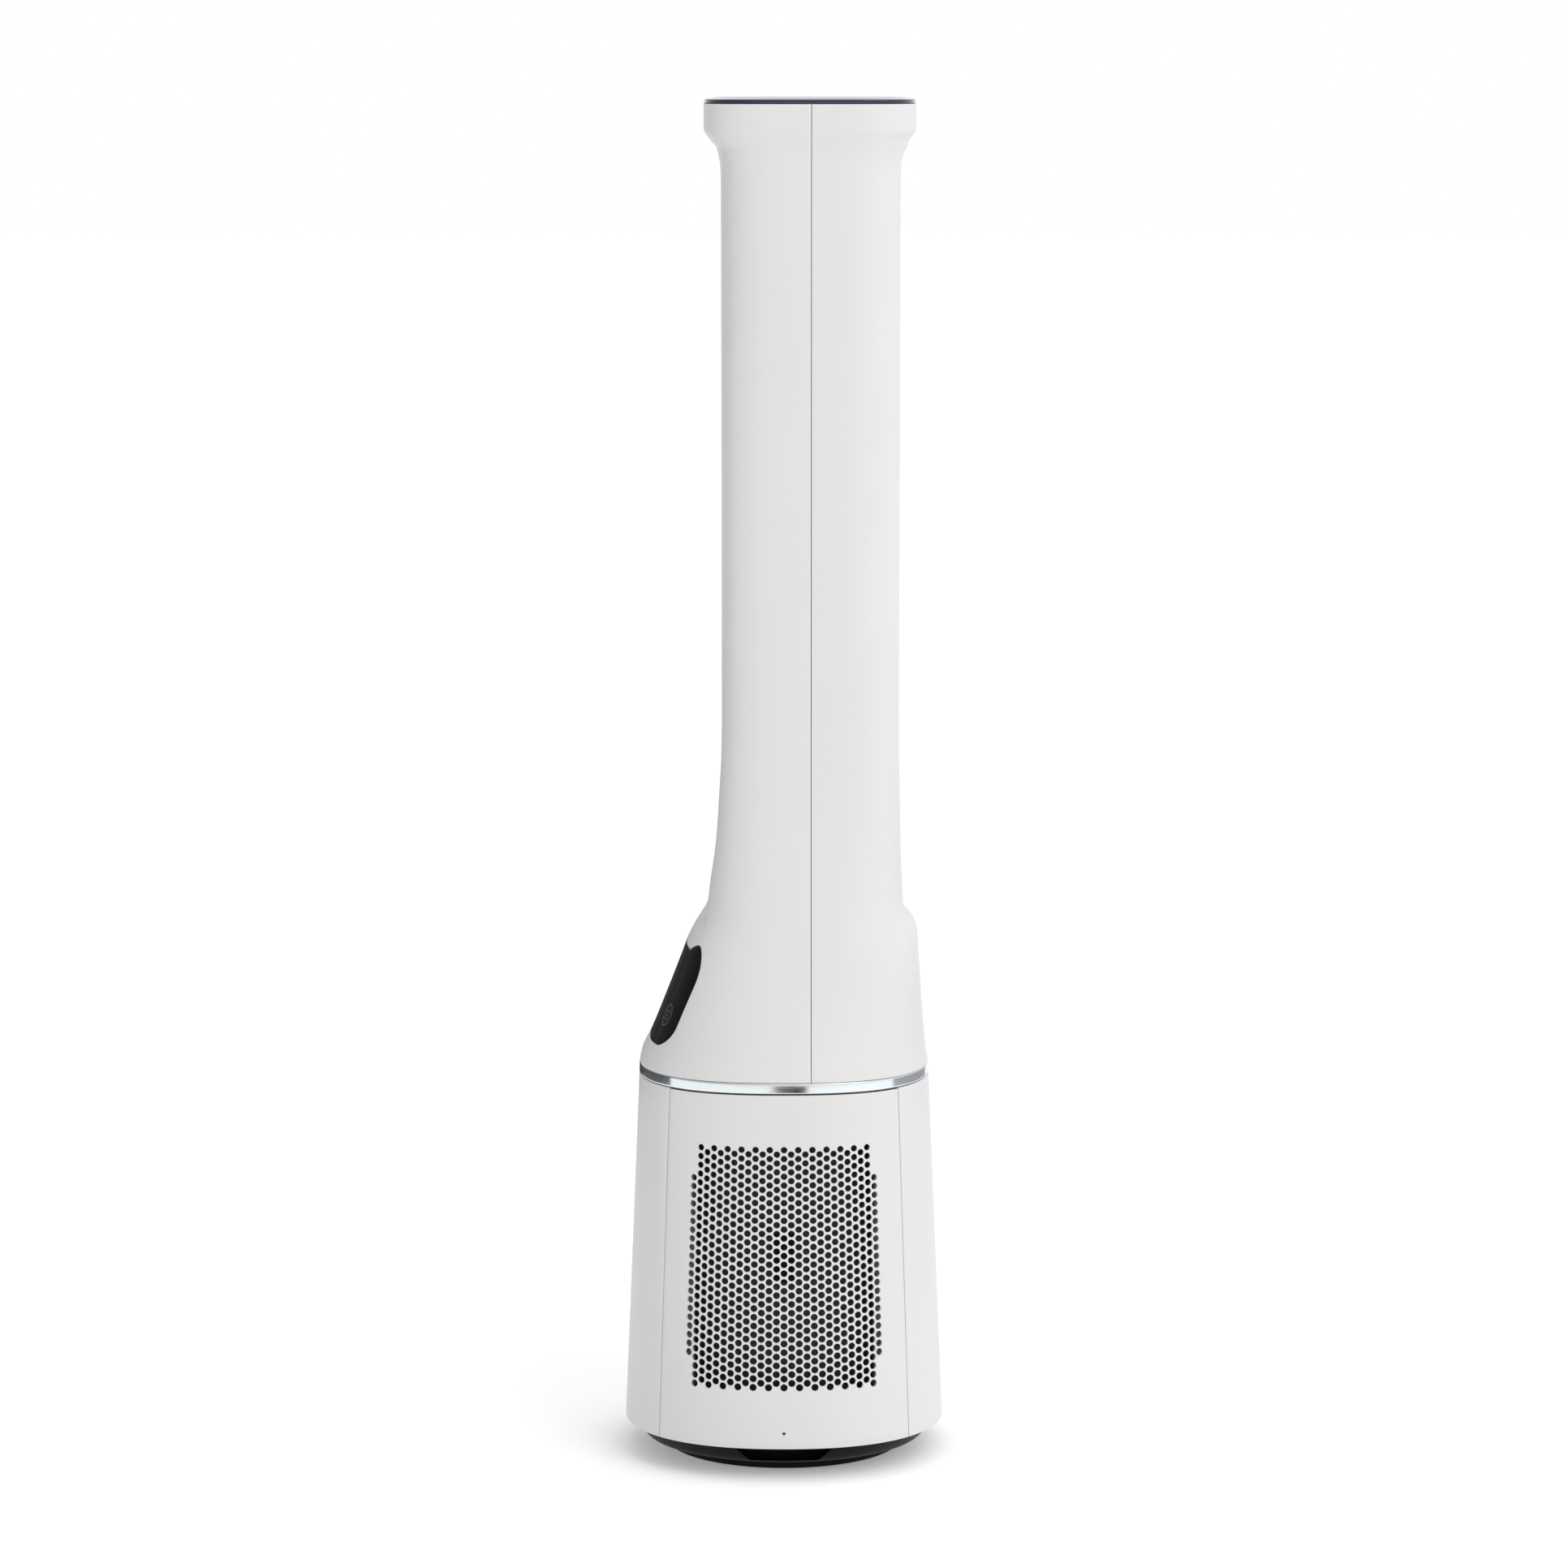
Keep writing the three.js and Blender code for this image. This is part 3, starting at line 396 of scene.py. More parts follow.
def makeLight(scene):
    # White room: full white where it is looked at, softer where it lights, and dimmer on the front side.
    world = bpy.data.worlds.new("paleStudio")
    world.use_nodes = True
    scene.world = world
    sky = world.node_tree.nodes["Background"]
    sky.inputs["Color"].default_value = (1.0, 1.0, 1.0, 1.0)
    seen = addNode(world, "ShaderNodeLightPath").outputs["Is Camera Ray"]
    way = addNode(world, "ShaderNodeTexCoord").outputs["Generated"]
    across = addNode(world, "ShaderNodeSeparateXYZ", {"Vector": way}).outputs["Y"]
    start, end = studio["lightFade"]
    inputs = {"Value": across, "From Min": start, "From Max": end,
              "To Min": studio["frontLight"], "To Max": studio["worldLight"]}
    level = addNode(world, "ShaderNodeMapRange", inputs, interpolation_type="SMOOTHSTEP").outputs["Result"]
    strength = addNode(world, "ShaderNodeMix", {0: seen, 2: level, 3: 1.0}).outputs[0]
    world.node_tree.links.new(strength, sky.inputs["Strength"])

    data = bpy.data.lights.new("keyLight", "AREA")
    data.shape, data.size, data.energy = "SQUARE", studio["keySize"], studio["keyPower"]
    lamp = bpy.data.objects.new("keyLight", data)
    scene.collection.objects.link(lamp)
    lamp.location = studio["keyPlace"]
    aimAt(lamp, studio["keyAim"])


def makeStudio():
    makeCamera(bpy.context.scene)
    makeLight(bpy.context.scene)
    # The floor looks as white as the room to the eye and to gloss, and still takes a soft shadow.
    size = studio["floorSize"]
    floor = flatPiece("floor", size, size, Matrix.Identity(4), [studio["floorWhite"]] * 3, studio["floorGlow"])
    for k, (direction, distance, width, height, grey) in enumerate(studio["cards"]):
        toCard = Vector((math.cos(math.radians(direction)), math.sin(math.radians(direction)), 0))
        place = Matrix.Translation(toCard * distance + Vector((0, 0, height / 2 + 0.01)))
        turn = place @ (-toCard).to_track_quat("Z", "Y").to_matrix().to_4x4()
        card = flatPiece(f"card{k}", width, height, turn, (grey, grey, grey * 1.04))
        card.visible_camera = card.visible_diffuse = card.visible_shadow = False


makeStudio()
print("studio ready")

# ---- The machine's outer surface ----

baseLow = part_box("base_front_panel")[0].z / mm
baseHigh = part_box("base_front_panel")[1].z / mm
halfLow = cadBox[1].x / mm
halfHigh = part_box("trim_ring")[1].x / mm
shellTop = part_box("front_shell")[1].z / mm
fullHeight = cadBox[1].z / mm

form = {
    "basePower": (2.25, 2.5),
    "seamY": 22.0,
    "seamGap": 0.55,
    "ringHeight": 9.3,  # from the base to the ring's upper edge
    "shellGap": 0.35,  # between the ring and the tower shells
    "wall": 2.4,
    "edgeRound": 0.45,
    # height above the base, then how far front, rear and side have come in, then the section's power
    "shoulder": [
        (0, 0, 0, 0, 2.5), (8, 0.4, 0.5, 0.5, 2.52), (17, 2.4, 2.0, 2.6, 2.55), (30, 8.8, 3.4, 6.8, 2.62),
        (63, 22.4, 6.2, 16.2, 2.85), (96, 35.3, 8.4, 24.4, 3.05), (107, 39.4, 10.0, 26.4, 3.1),
        (118, 44.4, 13.2, 29.0, 3.15), (128, 49.6, 16.8, 31.4, 3.2), (139, 54.3, 19.9, 33.6, 3.25),
        (156, 58.3, 21.9, 36.6, 3.4), (202, 63.8, 23.5, 41.4, 3.7), (242, 66.5, 24.3, 43.7, 3.9),
        (283, 68.5, 25.2, 44.7, 4.0),
    ],
    # depth below the shells' upper edge
    "crown": [
        (61, 68.5, 25.2, 41.6, 4.0), (48, 68.0, 24.9, 40.4, 4.0), (41, 66.7, 23.1, 39.6, 4.0),
        (36, 65.4, 21.1, 38.8, 4.0), (33.4, 64.1, 19.8, 38.2, 4.0), (31, 61.6, 19.3, 37.2, 4.0),
        (28, 59.4, 17.8, 36.4, 4.0), (25.5, 57.5, 15.9, 35.6, 4.0), (22, 55.4, 13.6, 34.6, 4.0),
        (18.5, 54.9, 12.9, 34.2, 4.0), (0, 54.9, 12.9, 33.9, 4.0),
    ],
}
towerAt = smoothProfile([(baseHigh + up, *rest) for up, *rest in form["shoulder"]]
                        + [(shellTop - down, *rest) for down, *rest in form["crown"]])


def towerSection(z):
    frontIn, rearIn, sideIn, power = towerAt(z)
    front, rear = halfHigh - frontIn, halfHigh - rearIn
    return (rear - front) / 2, halfHigh - sideIn, (rear + front) / 2, power


def baseSection(z):
    share = (z - baseLow) / (baseHigh - baseLow)
    half = mix(halfLow, halfHigh, share)
    return 0.0, half, half, mix(*form["basePower"], share)


def wallPoint(section, angle, z, inset=0.0):
    middle, halfX, halfY, power = section(z)
    c, s = math.cos(angle), math.sin(angle)
    reach = ((abs(c) / (halfX - inset)) ** power + (abs(s) / (halfY - inset)) ** power) ** (-1 / power)
    return Vector((reach * c, middle + reach * s, z)) * mm


def angleAtX(section, x, z, way):
    middle, halfX, halfY, power = section(z)
    y = way * halfY * max(0.0, 1 - (abs(x) / halfX) ** power) ** (1 / power)
    return math.atan2(y, x)


def angleAtY(section, y, z):
    middle, halfX, halfY, power = section(z)
    x = halfX * max(0.0, 1 - (abs(y - middle) / halfY) ** power) ** (1 / power)
    return math.atan2(y - middle, x)


def onFront(x, z, depth=0.0):
    return wallPoint(towerSection, angleAtX(towerSection, x, z, -1), z, depth)


ringTop = baseHigh + form["ringHeight"]

# ---- Tower shells ----

opening = {
    "lensRise": 29.8,  # lens's lower edge above the base
    "lensHeight": 78.0,
    "lensHalf": 74.0,
    "lowCorner": (20.0, 18.0),
    "highCorner": (14.0, 33.0),
    "earHeight": 5.0,
    "earStart": 42.0,
    "lensGap": 0.25,
    "gapHalfLow": 30.0,
    "gapHalfHigh": 27.0,
    "gapFloorRise": 143.5,
    "headroom": 32.0,
    "noseRise": 10.3,  # above the gap's floor: the crease ends and the wing's rounded nose begins
    "noseRadius": 5.0,
    "noseReturn": 6.0,
    "noseFade": (26.0, 16.0),  # over this much height the nose grows from the crease and dies at the ceiling
    "returnFade": 5.0,
    "topCorner": 7.0,
    "creaseHalf": 30.2,  # the creases' half width at their upper end
    # rows of (height above the lens, half width) of the front crease
    "frontCrease": [(1.3, 66.2), (21.6, 52.0), (34, 41.0)],
    "humpRise": 92.0,  # where the rear lip starts to swell
    # rows of (height above the hump's start, half width) of the rear crease
    "rearCrease": [(0, 74.0), (28, 72.5), (35, 68.0), (41, 58.5), (47, 46.5), (53, 36.5)],
    "chinHalf": 60.0,
    "lensCornerIn": 5.5,
}
lensBottom = baseHigh + opening["lensRise"]
lensTop = lensBottom + opening["lensHeight"]
gapFloor = baseHigh + opening["gapFloorRise"]
ceiling = shellTop - opening["headroom"]
noseStart = gapFloor + opening["noseRise"]
humpStart = baseHigh + opening["humpRise"]


def gapHalf(z):
    return mix(opening["gapHalfLow"], opening["gapHalfHigh"], (z - gapFloor) / (ceiling - gapFloor))


def lensLow(x, grow=0.0):
    wide, tall = opening["lowCorner"]
    x = min(abs(x) * opening["lensHalf"] / (opening["lensHalf"] + grow), opening["lensHalf"])
    past = max(0.0, x - opening["lensHalf"] + wide) / wide
    return lensBottom - grow + tall * (1 - math.sqrt(max(0.0, 1 - past * past)))


def lensHigh(x, grow=0.0):
    wide, tall = opening["highCorner"]
    x = min(abs(x) * opening["lensHalf"] / (opening["lensHalf"] + grow), opening["lensHalf"])
    earAt = opening["lensHalf"] - wide
    if x < earAt:
        start = opening["earStart"]
        return lensTop + grow + opening["earHeight"] * ease((x - start) / (earAt - start))
    past = (x - earAt) / wide
    return lensTop + grow + opening["earHeight"] - tall * (1 - math.sqrt(max(0.0, 1 - past * past)))


def evenly(points, count):
    # The same path with count even steps.
    lengths = [0.0]
    for a, b in zip(points, points[1:]):
        lengths.append(lengths[-1] + math.dist(a, b))
    out = []
    for k in range(count + 1):
        target = lengths[-1] * k / count
        i = next((n for n, reached in enumerate(lengths) if reached >= target - 1e-9), 1)
        i = min(max(1, i), len(points) - 1)
        share = (target - lengths[i - 1]) / max(lengths[i] - lengths[i - 1], 1e-9)
        out.append(tuple(mix(a, b, share) for a, b in zip(points[i - 1], points[i])))
    return out


def lensSidePath(cornerX, endX, grow):
    # Up the lens's side, from its lower corner to where the crease takes over.
    half = opening["lensHalf"] + grow
    start = math.acos((cornerX - half + opening["lowCorner"][0]) / opening["lowCorner"][0])
    low = [half - opening["lowCorner"][0] * (1 - math.cos(start * (1 - k / 12))) for k in range(13)]
    end = math.acos(max(-1, min(1, (endX - half + opening["highCorner"][0]) / opening["highCorner"][0])))
    high = [half - opening["highCorner"][0] * (1 - math.cos(end * k / 12)) for k in range(13)]
    return [(x, lensLow(x, grow)) for x in low] + [(x, lensHigh(x, grow)) for x in high]


frontCrease = smoothProfile([(lensTop + up, half) for up, half in opening["frontCrease"]]
                            + [(noseStart, opening["creaseHalf"])])
rearCrease = smoothProfile([(humpStart + up, half) for up, half in opening["rearCrease"]]
                           + [(noseStart, opening["creaseHalf"])])
gapRows = [noseStart + up for up in (3, 7, 12, 18, 25, 34, 46, 62, 84, 110, 140)]
gapRows += [mix(noseStart + 175, ceiling - 75, k / 8) for k in range(9)]
gapRows += [ceiling - down for down in (60, 48, 38, 30, 24, 19, 15, 11, opening["topCorner"])]


def noseAt(z):
    # Radius of the wing's rounded front and rear edges: full between the crease and the ceiling.
    low, high = opening["noseFade"]
    toCorner = ceiling - opening["topCorner"] - z
    return opening["noseRadius"] * ease((z - noseStart) / low) * ease(toCorner / high)


def cornerPath():
    low, radius = ceiling - opening["topCorner"], opening["topCorner"]
    x = gapHalf(low)
    turns = [math.radians(90 * k / 16) for k in range(1, 9)]
    return [(x - radius * (1 - math.cos(a)), low + radius * math.sin(a)) for a in turns]


def ceilingLine(x):
    # The gap's upper edge: flat, with round corners.
    radius = opening["topCorner"]
    past = max(0.0, abs(x) - gapHalf(ceiling - radius) + radius) / radius
    return ceiling - radius * (1 - math.sqrt(max(0.0, 1 - min(past, 1.0) ** 2)))


def sideSheet(way, path, holeStart, holeEnd, lowEdge):
    # Half of a tower shell (X > 0): from the seam round the wing to the path, then to X = 0 above and below.
    # path holds (x, z, nose radius) for each row; rows between holeStart and holeEnd are open beyond it.
    side, nose, tail, centre = 40, 6, 3, 26
    seam = form["seamY"] + way * form["seamGap"] / 2
    columns, rows = side + nose + tail + centre, len(path) - 1

    def angleFor(i, x, z):
        outer = angleAtX(towerSection, x, z, way)
        return outer if i > side else mix(angleAtY(towerSection, seam, z), outer, i / side)

    def place(i, j):
        x, z, radius = path[j]
        inward = math.cos(math.radians(90) * max(0, i - side - nose - tail) / centre) if i < columns else 0.0
        if j <= holeStart:
            # Rows fan out from the ring to the opening's lower edge.
            x *= inward
            target = path[holeStart][1] if inward == 1 else lowEdge(path[holeStart][0] * inward)
            z = mix(ringTop + form["shellGap"], target, j / holeStart)
            return wallPoint(towerSection, angleFor(i, x, z), z)
        if i <= side:
            return wallPoint(towerSection, angleFor(i, x + radius, z), z)
        if inward == 1:
            edge = wallPoint(towerSection, angleAtX(towerSection, x + radius, z, way), z) / mm
            turn = math.radians(90) * min(1.0, (i - side) / nose)
            # The edge reaches back past the gap's inner wall, so no slit is left beside it.
            reach = opening["noseRadius"] + opening["noseReturn"] - radius if j < holeEnd else 0.0
            back = reach * ease((z - noseStart) / opening["returnFade"]) * max(0, i - side - nose) / tail
            edge.x -= radius * math.sin(turn)
            edge.y -= way * (radius * (1 - math.cos(turn)) + back)
            return edge * mm
        x *= inward
        start = ceilingLine(path[holeEnd][0] * inward)
        z = mix(start, shellTop, (path[j][1] - path[holeEnd][1]) / (shellTop - path[holeEnd][1]))
        return wallPoint(towerSection, angleAtX(towerSection, x, z, way), z)

    def keep(i, j):
        return i < side + nose + tail or j < holeStart or j >= holeEnd

    return gridSheet(columns, rows, place, keep)


def rampSheet(way, ends, middles, flatRows, firstRow, lastY):
    # The saddle between the wings: rows run from the crease (ends) down to the machine's middle (middles).
    columns, floorRows, fadeRows = 26, 12, 10
    rows = len(ends) - 1 + floorRows

    def place(i, k):
        turn = math.radians(90) * i / columns
        if k < len(ends):
            x, z = ends[k]
            end = wallPoint(towerSection, angleAtX(towerSection, x, z, way), z) / mm
            middle = Vector((0, *middles[k]))
        else:
            share = (k - len(ends) + 1) / floorRows
            x, z = ends[-1]
            start = wallPoint(towerSection, angleAtX(towerSection, x, z, way), z) / mm
            end = Vector((gapHalf(z), mix(start.y, lastY, share), z))
            middle = Vector((0, mix(middles[-1][0], lastY, share), gapFloor))
        across = math.cos(turn) if i < columns else 0.0
        down = mix(1 - across**3, math.sqrt(1 - across * across), ease(k / flatRows))
        point = Vector((end.x * across, mix(end.y, middle.y, 1 - across**3), mix(end.z, middle.z, down)))
        if k < fadeRows:
            # The first row follows the edge it starts from, and that shape fades out over a few rows.
            x, z = ends[0]
            start = wallPoint(towerSection, angleAtX(towerSection, x, z, way), z) / mm
            away = 1 - across**3
            plain = Vector((x * across, mix(start.y, middles[0][0], away), mix(z, middles[0][1], away)))
            point += (firstRow(x * across) / mm - plain) * (1 - k / fadeRows) ** 2
        return point * mm

    return gridSheet(columns, rows, place)


def finishShell(name, sheets, replaces):
    bm = joined(sheets)
    weld(bm)
    mirrorX(bm)
    weld(bm)
    faceOut(bm, lambda point: Vector((point.x, point.y - form["seamY"] * mm, 0)))
    thicken(bm, form["wall"])
    roundEdges(bm, form["edgeRound"], angle=60)
    return makePiece(name, bm, "tower", "white_shell", replaces)


def gapPath():
    # From the crease's end up the wing's edge, round the gap's upper corner and straight on to the shell's top.
    path = [(gapHalf(z), z, noseAt(z)) for z in gapRows] + [(x, z, 0) for x, z in cornerPath()]
    crownRows, cornerX, cornerZ = 18, *path[-1][:2]
    crown = [(cornerX, mix(cornerZ, shellTop, k / crownRows), 0) for k in range(1, crownRows + 1)]
    return path + crown, len(path) - 1


def creaseRows(crease, start, rows, samples):
    heights = [mix(start, noseStart, k / samples) for k in range(samples + 1)]
    return evenly([(crease(z)[0], z) for z in heights], rows)


def saddleLine(rows, count):
    # The saddle's middle, as (y, z) for each of its rows, from rows of (distance along, y, z).
    line = smoothProfile(rows)
    return [tuple(line(rows[-1][0] * k / (count - 1))) for k in range(count)]


def frontShell():
    grow = opening["lensGap"]
    cornerX = opening["lensHalf"] - opening["lensCornerIn"]
    creaseStart = lensTop + opening["frontCrease"][0][0]
    chin, lensCorner = 12, (cornerX, lensLow(cornerX, grow))
    path = [(mix(opening["chinHalf"], lensCorner[0], j / chin), mix(ringTop, lensCorner[1], j / chin), 0)
            for j in range(chin)]
    side = evenly(lensSidePath(cornerX, frontCrease(creaseStart)[0], grow), 26)
    crease = creaseRows(frontCrease, side[-1][1], 16, 30)
    crease[0] = side[-1]
    path += [(x, z, 0) for x, z in side] + [(x, z, 0) for x, z in crease[1:]]
    rest, corner = gapPath()
    sheet = sideSheet(-1, path + rest, chin, len(path) + corner, lambda x: lensLow(x, grow))

    startY = onFront(0, lensTop + grow).y / mm
    middles = saddleLine([(0, startY, lensTop + grow), (18, -74.2, lensTop + 12), (39, -65.5, lensTop + 24),
                          (54, -56.0, lensTop + 31), (66, -46.0, gapFloor - 0.8), (72, -40.0, gapFloor)],
                         len(crease))
    ramp = rampSheet(-1, crease, middles, 6, lambda x: onFront(x, lensHigh(x, grow)),
                     form["seamY"] - form["seamGap"] / 2)
    return finishShell("frontTowerShell", [sheet, ramp], ("front_shell", "gap_saddle"))


def rearShell():
    low = 14
    startX = rearCrease(humpStart)[0]
    crease = creaseRows(rearCrease, humpStart, 24, 60)
    path = [(startX, mix(ringTop, humpStart, j / low), 0) for j in range(low)] + [(x, z, 0) for x, z in crease]
    rest, corner = gapPath()
    sheet = sideSheet(1, path + rest, low, len(path) + corner, lambda x: humpStart)

    def firstRow(x):
        return wallPoint(towerSection, angleAtX(towerSection, x, humpStart, 1), humpStart)

    middles = saddleLine([(0, firstRow(0).y / mm, humpStart), (14, 111.1, humpStart + 14),
                          (25, 110.4, humpStart + 25.2), (31, 109.0, humpStart + 30.8),
                          (38, 105.6, humpStart + 36), (47, 100.3, humpStart + 41),
                          (60, 92.5, humpStart + 47.3), (70, 83.0, gapFloor - 1.2), (80, 70.0, gapFloor)],
                         len(crease))
    ramp = rampSheet(1, crease, middles, 12, firstRow, form["seamY"] + form["seamGap"] / 2)
    return finishShell("rearTowerShell", [sheet, ramp], ("rear_shell",))


frontShell()
rearShell()
print("tower shells ready")

# ---- Side covers ----

cover = {
    "seamShare": 0.777,  # how far along Y the seams stand, as a share of the base's half width
    "seamGap": 0.6,
    "wall": 1.6,
    "lowHole": 77.6,  # height of the lowest and highest hole
    "highHole": 273.0,
    "holeRows": 28,
    "lastColumn": 13,  # columns of holes each side of the middle one
    "shortColumn": (3.5, 23.5),  # the outermost columns are shorter
    "pitchLow": 6.34,  # between two columns, at the lowest and highest hole
    "pitchHigh": 5.78,
    "radiusLow": 3.0,
    "radiusHigh": 2.7,
    "chamfer": 0.12,
    "border": 6,  # rows of faces between the holes and the cover's edges
    "markHeight": 39.2,
    "markSize": 3.3,
}
arcLevels, arcSteps, arcStep = 24, 240, 0.3  # heights, and steps of so many degrees, in the arc table
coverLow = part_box("side_cover_right")[0].z / mm
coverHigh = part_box("side_cover_right")[1].z / mm
holePitch = (cover["highHole"] - cover["lowHole"]) / (cover["holeRows"] - 1)


def arcTables():
    # Arc length along the base's section from its +X point, as a table of angles for a set of heights.
    tables = []
    for level in range(arcLevels + 1):
        z = mix(coverLow, coverHigh, level / arcLevels)
        lengths, last = [0.0], wallPoint(baseSection, 0.0, z)
        for step in range(1, arcSteps + 1):
            point = wallPoint(baseSection, math.radians(step * arcStep), z)
            lengths.append(lengths[-1] + (point - last).length / mm)
            last = point
        tables.append(lengths)
    return tables


arcs = arcTables()


def arcLevel(z):
    place = min(max((z - coverLow) / (coverHigh - coverLow), 0.0), 1.0) * arcLevels
    level = min(int(place), arcLevels - 1)
    return arcs[level], arcs[level + 1], place - level


def angleAtArc(z, arc):
    low, high, share = arcLevel(z)
    found = []
    for table in (low, high):
        k = bisect.bisect_left(table, abs(arc), 1, len(table) - 1)
        found.append(k - 1 + (abs(arc) - table[k - 1]) / (table[k] - table[k - 1]))
    return math.copysign(math.radians(arcStep * mix(*found, share)), arc)


def arcAtAngle(z, angle):
    low, high, share = arcLevel(z)
    step = min(math.degrees(angle) / arcStep, arcSteps - 0.1)
    k = int(step)
    return mix(mix(low[k], low[k + 1], step - k), mix(high[k], high[k + 1], step - k), share)


def coverPoint(column, row, depth):
    # column counts hole pitches from the middle, row from the lowest hole; past the holes both run to the edge.
    edgeColumn, edgeRow, margin = cover["lastColumn"] + 0.5, cover["holeRows"] - 0.5, cover["border"]
    low, high = cover["lowHole"] - holePitch / 2, cover["highHole"] + holePitch / 2
    if row < -0.5:
        z = mix(low, coverLow, (-0.5 - row) / margin)
    elif row > edgeRow:
        z = mix(high, coverHigh, (row - edgeRow) / margin)
    else:
        z = cover["lowHole"] + row * holePitch
    share = (z - cover["lowHole"]) / (cover["highHole"] - cover["lowHole"])
    pitch = mix(cover["pitchLow"], cover["pitchHigh"], share)
    arc = min(abs(column), edgeColumn) * pitch
    if abs(column) > edgeColumn:
        seamY = cover["seamShare"] * baseSection(z)[1] - cover["seamGap"] / 2
        seamArc = arcAtAngle(z, angleAtY(baseSection, seamY, z))
        arc = mix(arc, seamArc, (abs(column) - edgeColumn) / margin)
    return wallPoint(baseSection, angleAtArc(z, math.copysign(arc, column)), z, depth)


def cellOf(point):
    # The hole whose cell holds this point; odd columns stand half a pitch higher.
    column = round(point.x)
    shift = 0.5 * (column % 2)
    return column, round(point.y - shift) + shift


def hasHole(column, row):
    last, shift = cover["holeRows"] - 1, 0.5 * (column % 2)
    if abs(column) == cover["lastColumn"]:
        return cover["shortColumn"][0] <= row <= cover["shortColumn"][1]
    return abs(column) < cover["lastColumn"] and shift <= row <= last - shift


def punchHoles(bm):
    # Each hole's cell is 3 x 6 faces: they become one face, which is drawn in to a circle and taken out.
    cells = {}
    for face in bm.faces:
        cell = cellOf(face.calc_center_median())
        if hasHole(*cell):
            cells.setdefault(cell, []).append(face)
    holes = [bmesh.utils.face_join(faces) for faces in cells.values()]
    bmesh.ops.inset_individual(bm, faces=holes, thickness=0.01)
    for face in holes:
        column, row = cellOf(face.calc_center_median())
        share = row / (cover["holeRows"] - 1)
        radius = mix(cover["radiusLow"], cover["radiusHigh"], share)
        pitch = mix(cover["pitchLow"], cover["pitchHigh"], share)
        for v in face.verts:
            a, b = (v.co.x - column) * 2, (v.co.y - row) * 2
            if abs(a) >= abs(b):
                step = 3 * b if a > 0 else 9 - 3 * b
            else:
                step = 4.5 - 1.5 * a if b > 0 else 13.5 + 1.5 * a
            turn = twoPi * round(step) / 18
            v.co = (column + radius * math.cos(turn) / pitch, row + radius * math.sin(turn) / holePitch, 0)
    rims = list(dict.fromkeys(e for face in holes for e in face.edges))
    bmesh.ops.delete(bm, geom=holes, context="FACES_ONLY")
    return rims


def coverMesh():
    border, edge, top = cover["border"], cover["lastColumn"] + 0.5, cover["holeRows"] - 0.5
    across = [-edge - k for k in range(border, 0, -1)] + [-edge + k / 3 for k in range(round(6 * edge) + 1)]
    across += [edge + k for k in range(1, border + 1)]
    up = [-0.5 - k for k in range(border, 0, -1)] + [-0.5 + k / 6 for k in range(6 * cover["holeRows"] + 1)]
    up += [top + k for k in range(1, border + 1)]
    bm = gridSheet(len(across) - 1, len(up) - 1, lambda i, j: Vector((across[i], up[j], 0)))
    rims = punchHoles(bm)
    for v in bm.verts:
        v.co = coverPoint(v.co.x, v.co.y, 0.0)
    faceOut(bm, lambda point: Vector((point.x, point.y, 0)))
    thicken(bm, cover["wall"])
    rims = [e for e in rims if e.is_valid]
    bmesh.ops.bevel(bm, geom=rims, offset=cover["chamfer"] * mm, offset_type="OFFSET", affect="EDGES",
                    segments=1, profile=0.5, material=-1)

    def atOutline(e):
        middle = (e.verts[0].co + e.verts[1].co) / 2 / mm
        seamY = cover["seamShare"] * baseSection(middle.z)[1]
        return abs(middle.y) > seamY - 1 or not coverLow + 1 < middle.z < coverHigh - 1

    roundEdges(bm, form["edgeRound"], angle=60, test=atOutline)
    return bm


def coverMark(way):
    # A small printed arrow that shows where to pull; raised a hair so that it isn't buried.
    z, half = cover["markHeight"], cover["markSize"] / 2
    corners = [(-half, z + half * 0.85), (half, z + half * 0.85), (0, z - half * 0.85)]
    bm = bmesh.new()
    bmesh.ops.create_cone(bm, segments=3, radius1=1, radius2=1, depth=1, cap_ends=True)
    for v in bm.verts:
        k = round(math.degrees(math.atan2(v.co.y, v.co.x)) / 120) % 3
        y, height = corners[k]
        depth = -0.05 if v.co.z > 0 else 0.3
        v.co = wallPoint(baseSection, angleAtY(baseSection, y, height), height, depth)
        v.co.x *= way
    bmesh.ops.recalc_face_normals(bm, faces=bm.faces[:])
    return bm


for side, way in (("right", 1), ("left", -1)):
    bm = coverMesh()
    if way < 0:
        bmesh.ops.rotate(bm, verts=bm.verts[:], cent=(0, 0, 0), matrix=Matrix.Rotation(math.pi, 3, "Z"))
    makePiece(f"{side}SideCover", bm, f"cover_{side}", "white_shell", (f"side_cover_{side}",))
    makePiece(f"{side}CoverMark", coverMark(way), f"cover_{side}", "black_plastic")
print("side covers ready")

# ---- Base panels, ring and lid ----

base = {
    "panelWall": 2.5,
    "inletShare": 0.12,  # columns this near the middle lie over the inlet
    "inletHalf": 14.3,
    "inletLow": 37.7,
    "inletHigh": 58.3,
    "roundSteps": 240,
    "ringGap": 0.8,
    "ringWall": 3.0,
    "ringEdge": 0.7,
    "lidGap": 0.3,
    "lidEdge": 0.5,
    "lidInset": 0.7,
    "lidSlope": 12.0,
    "lidSlopeHeight": 1.4,
}


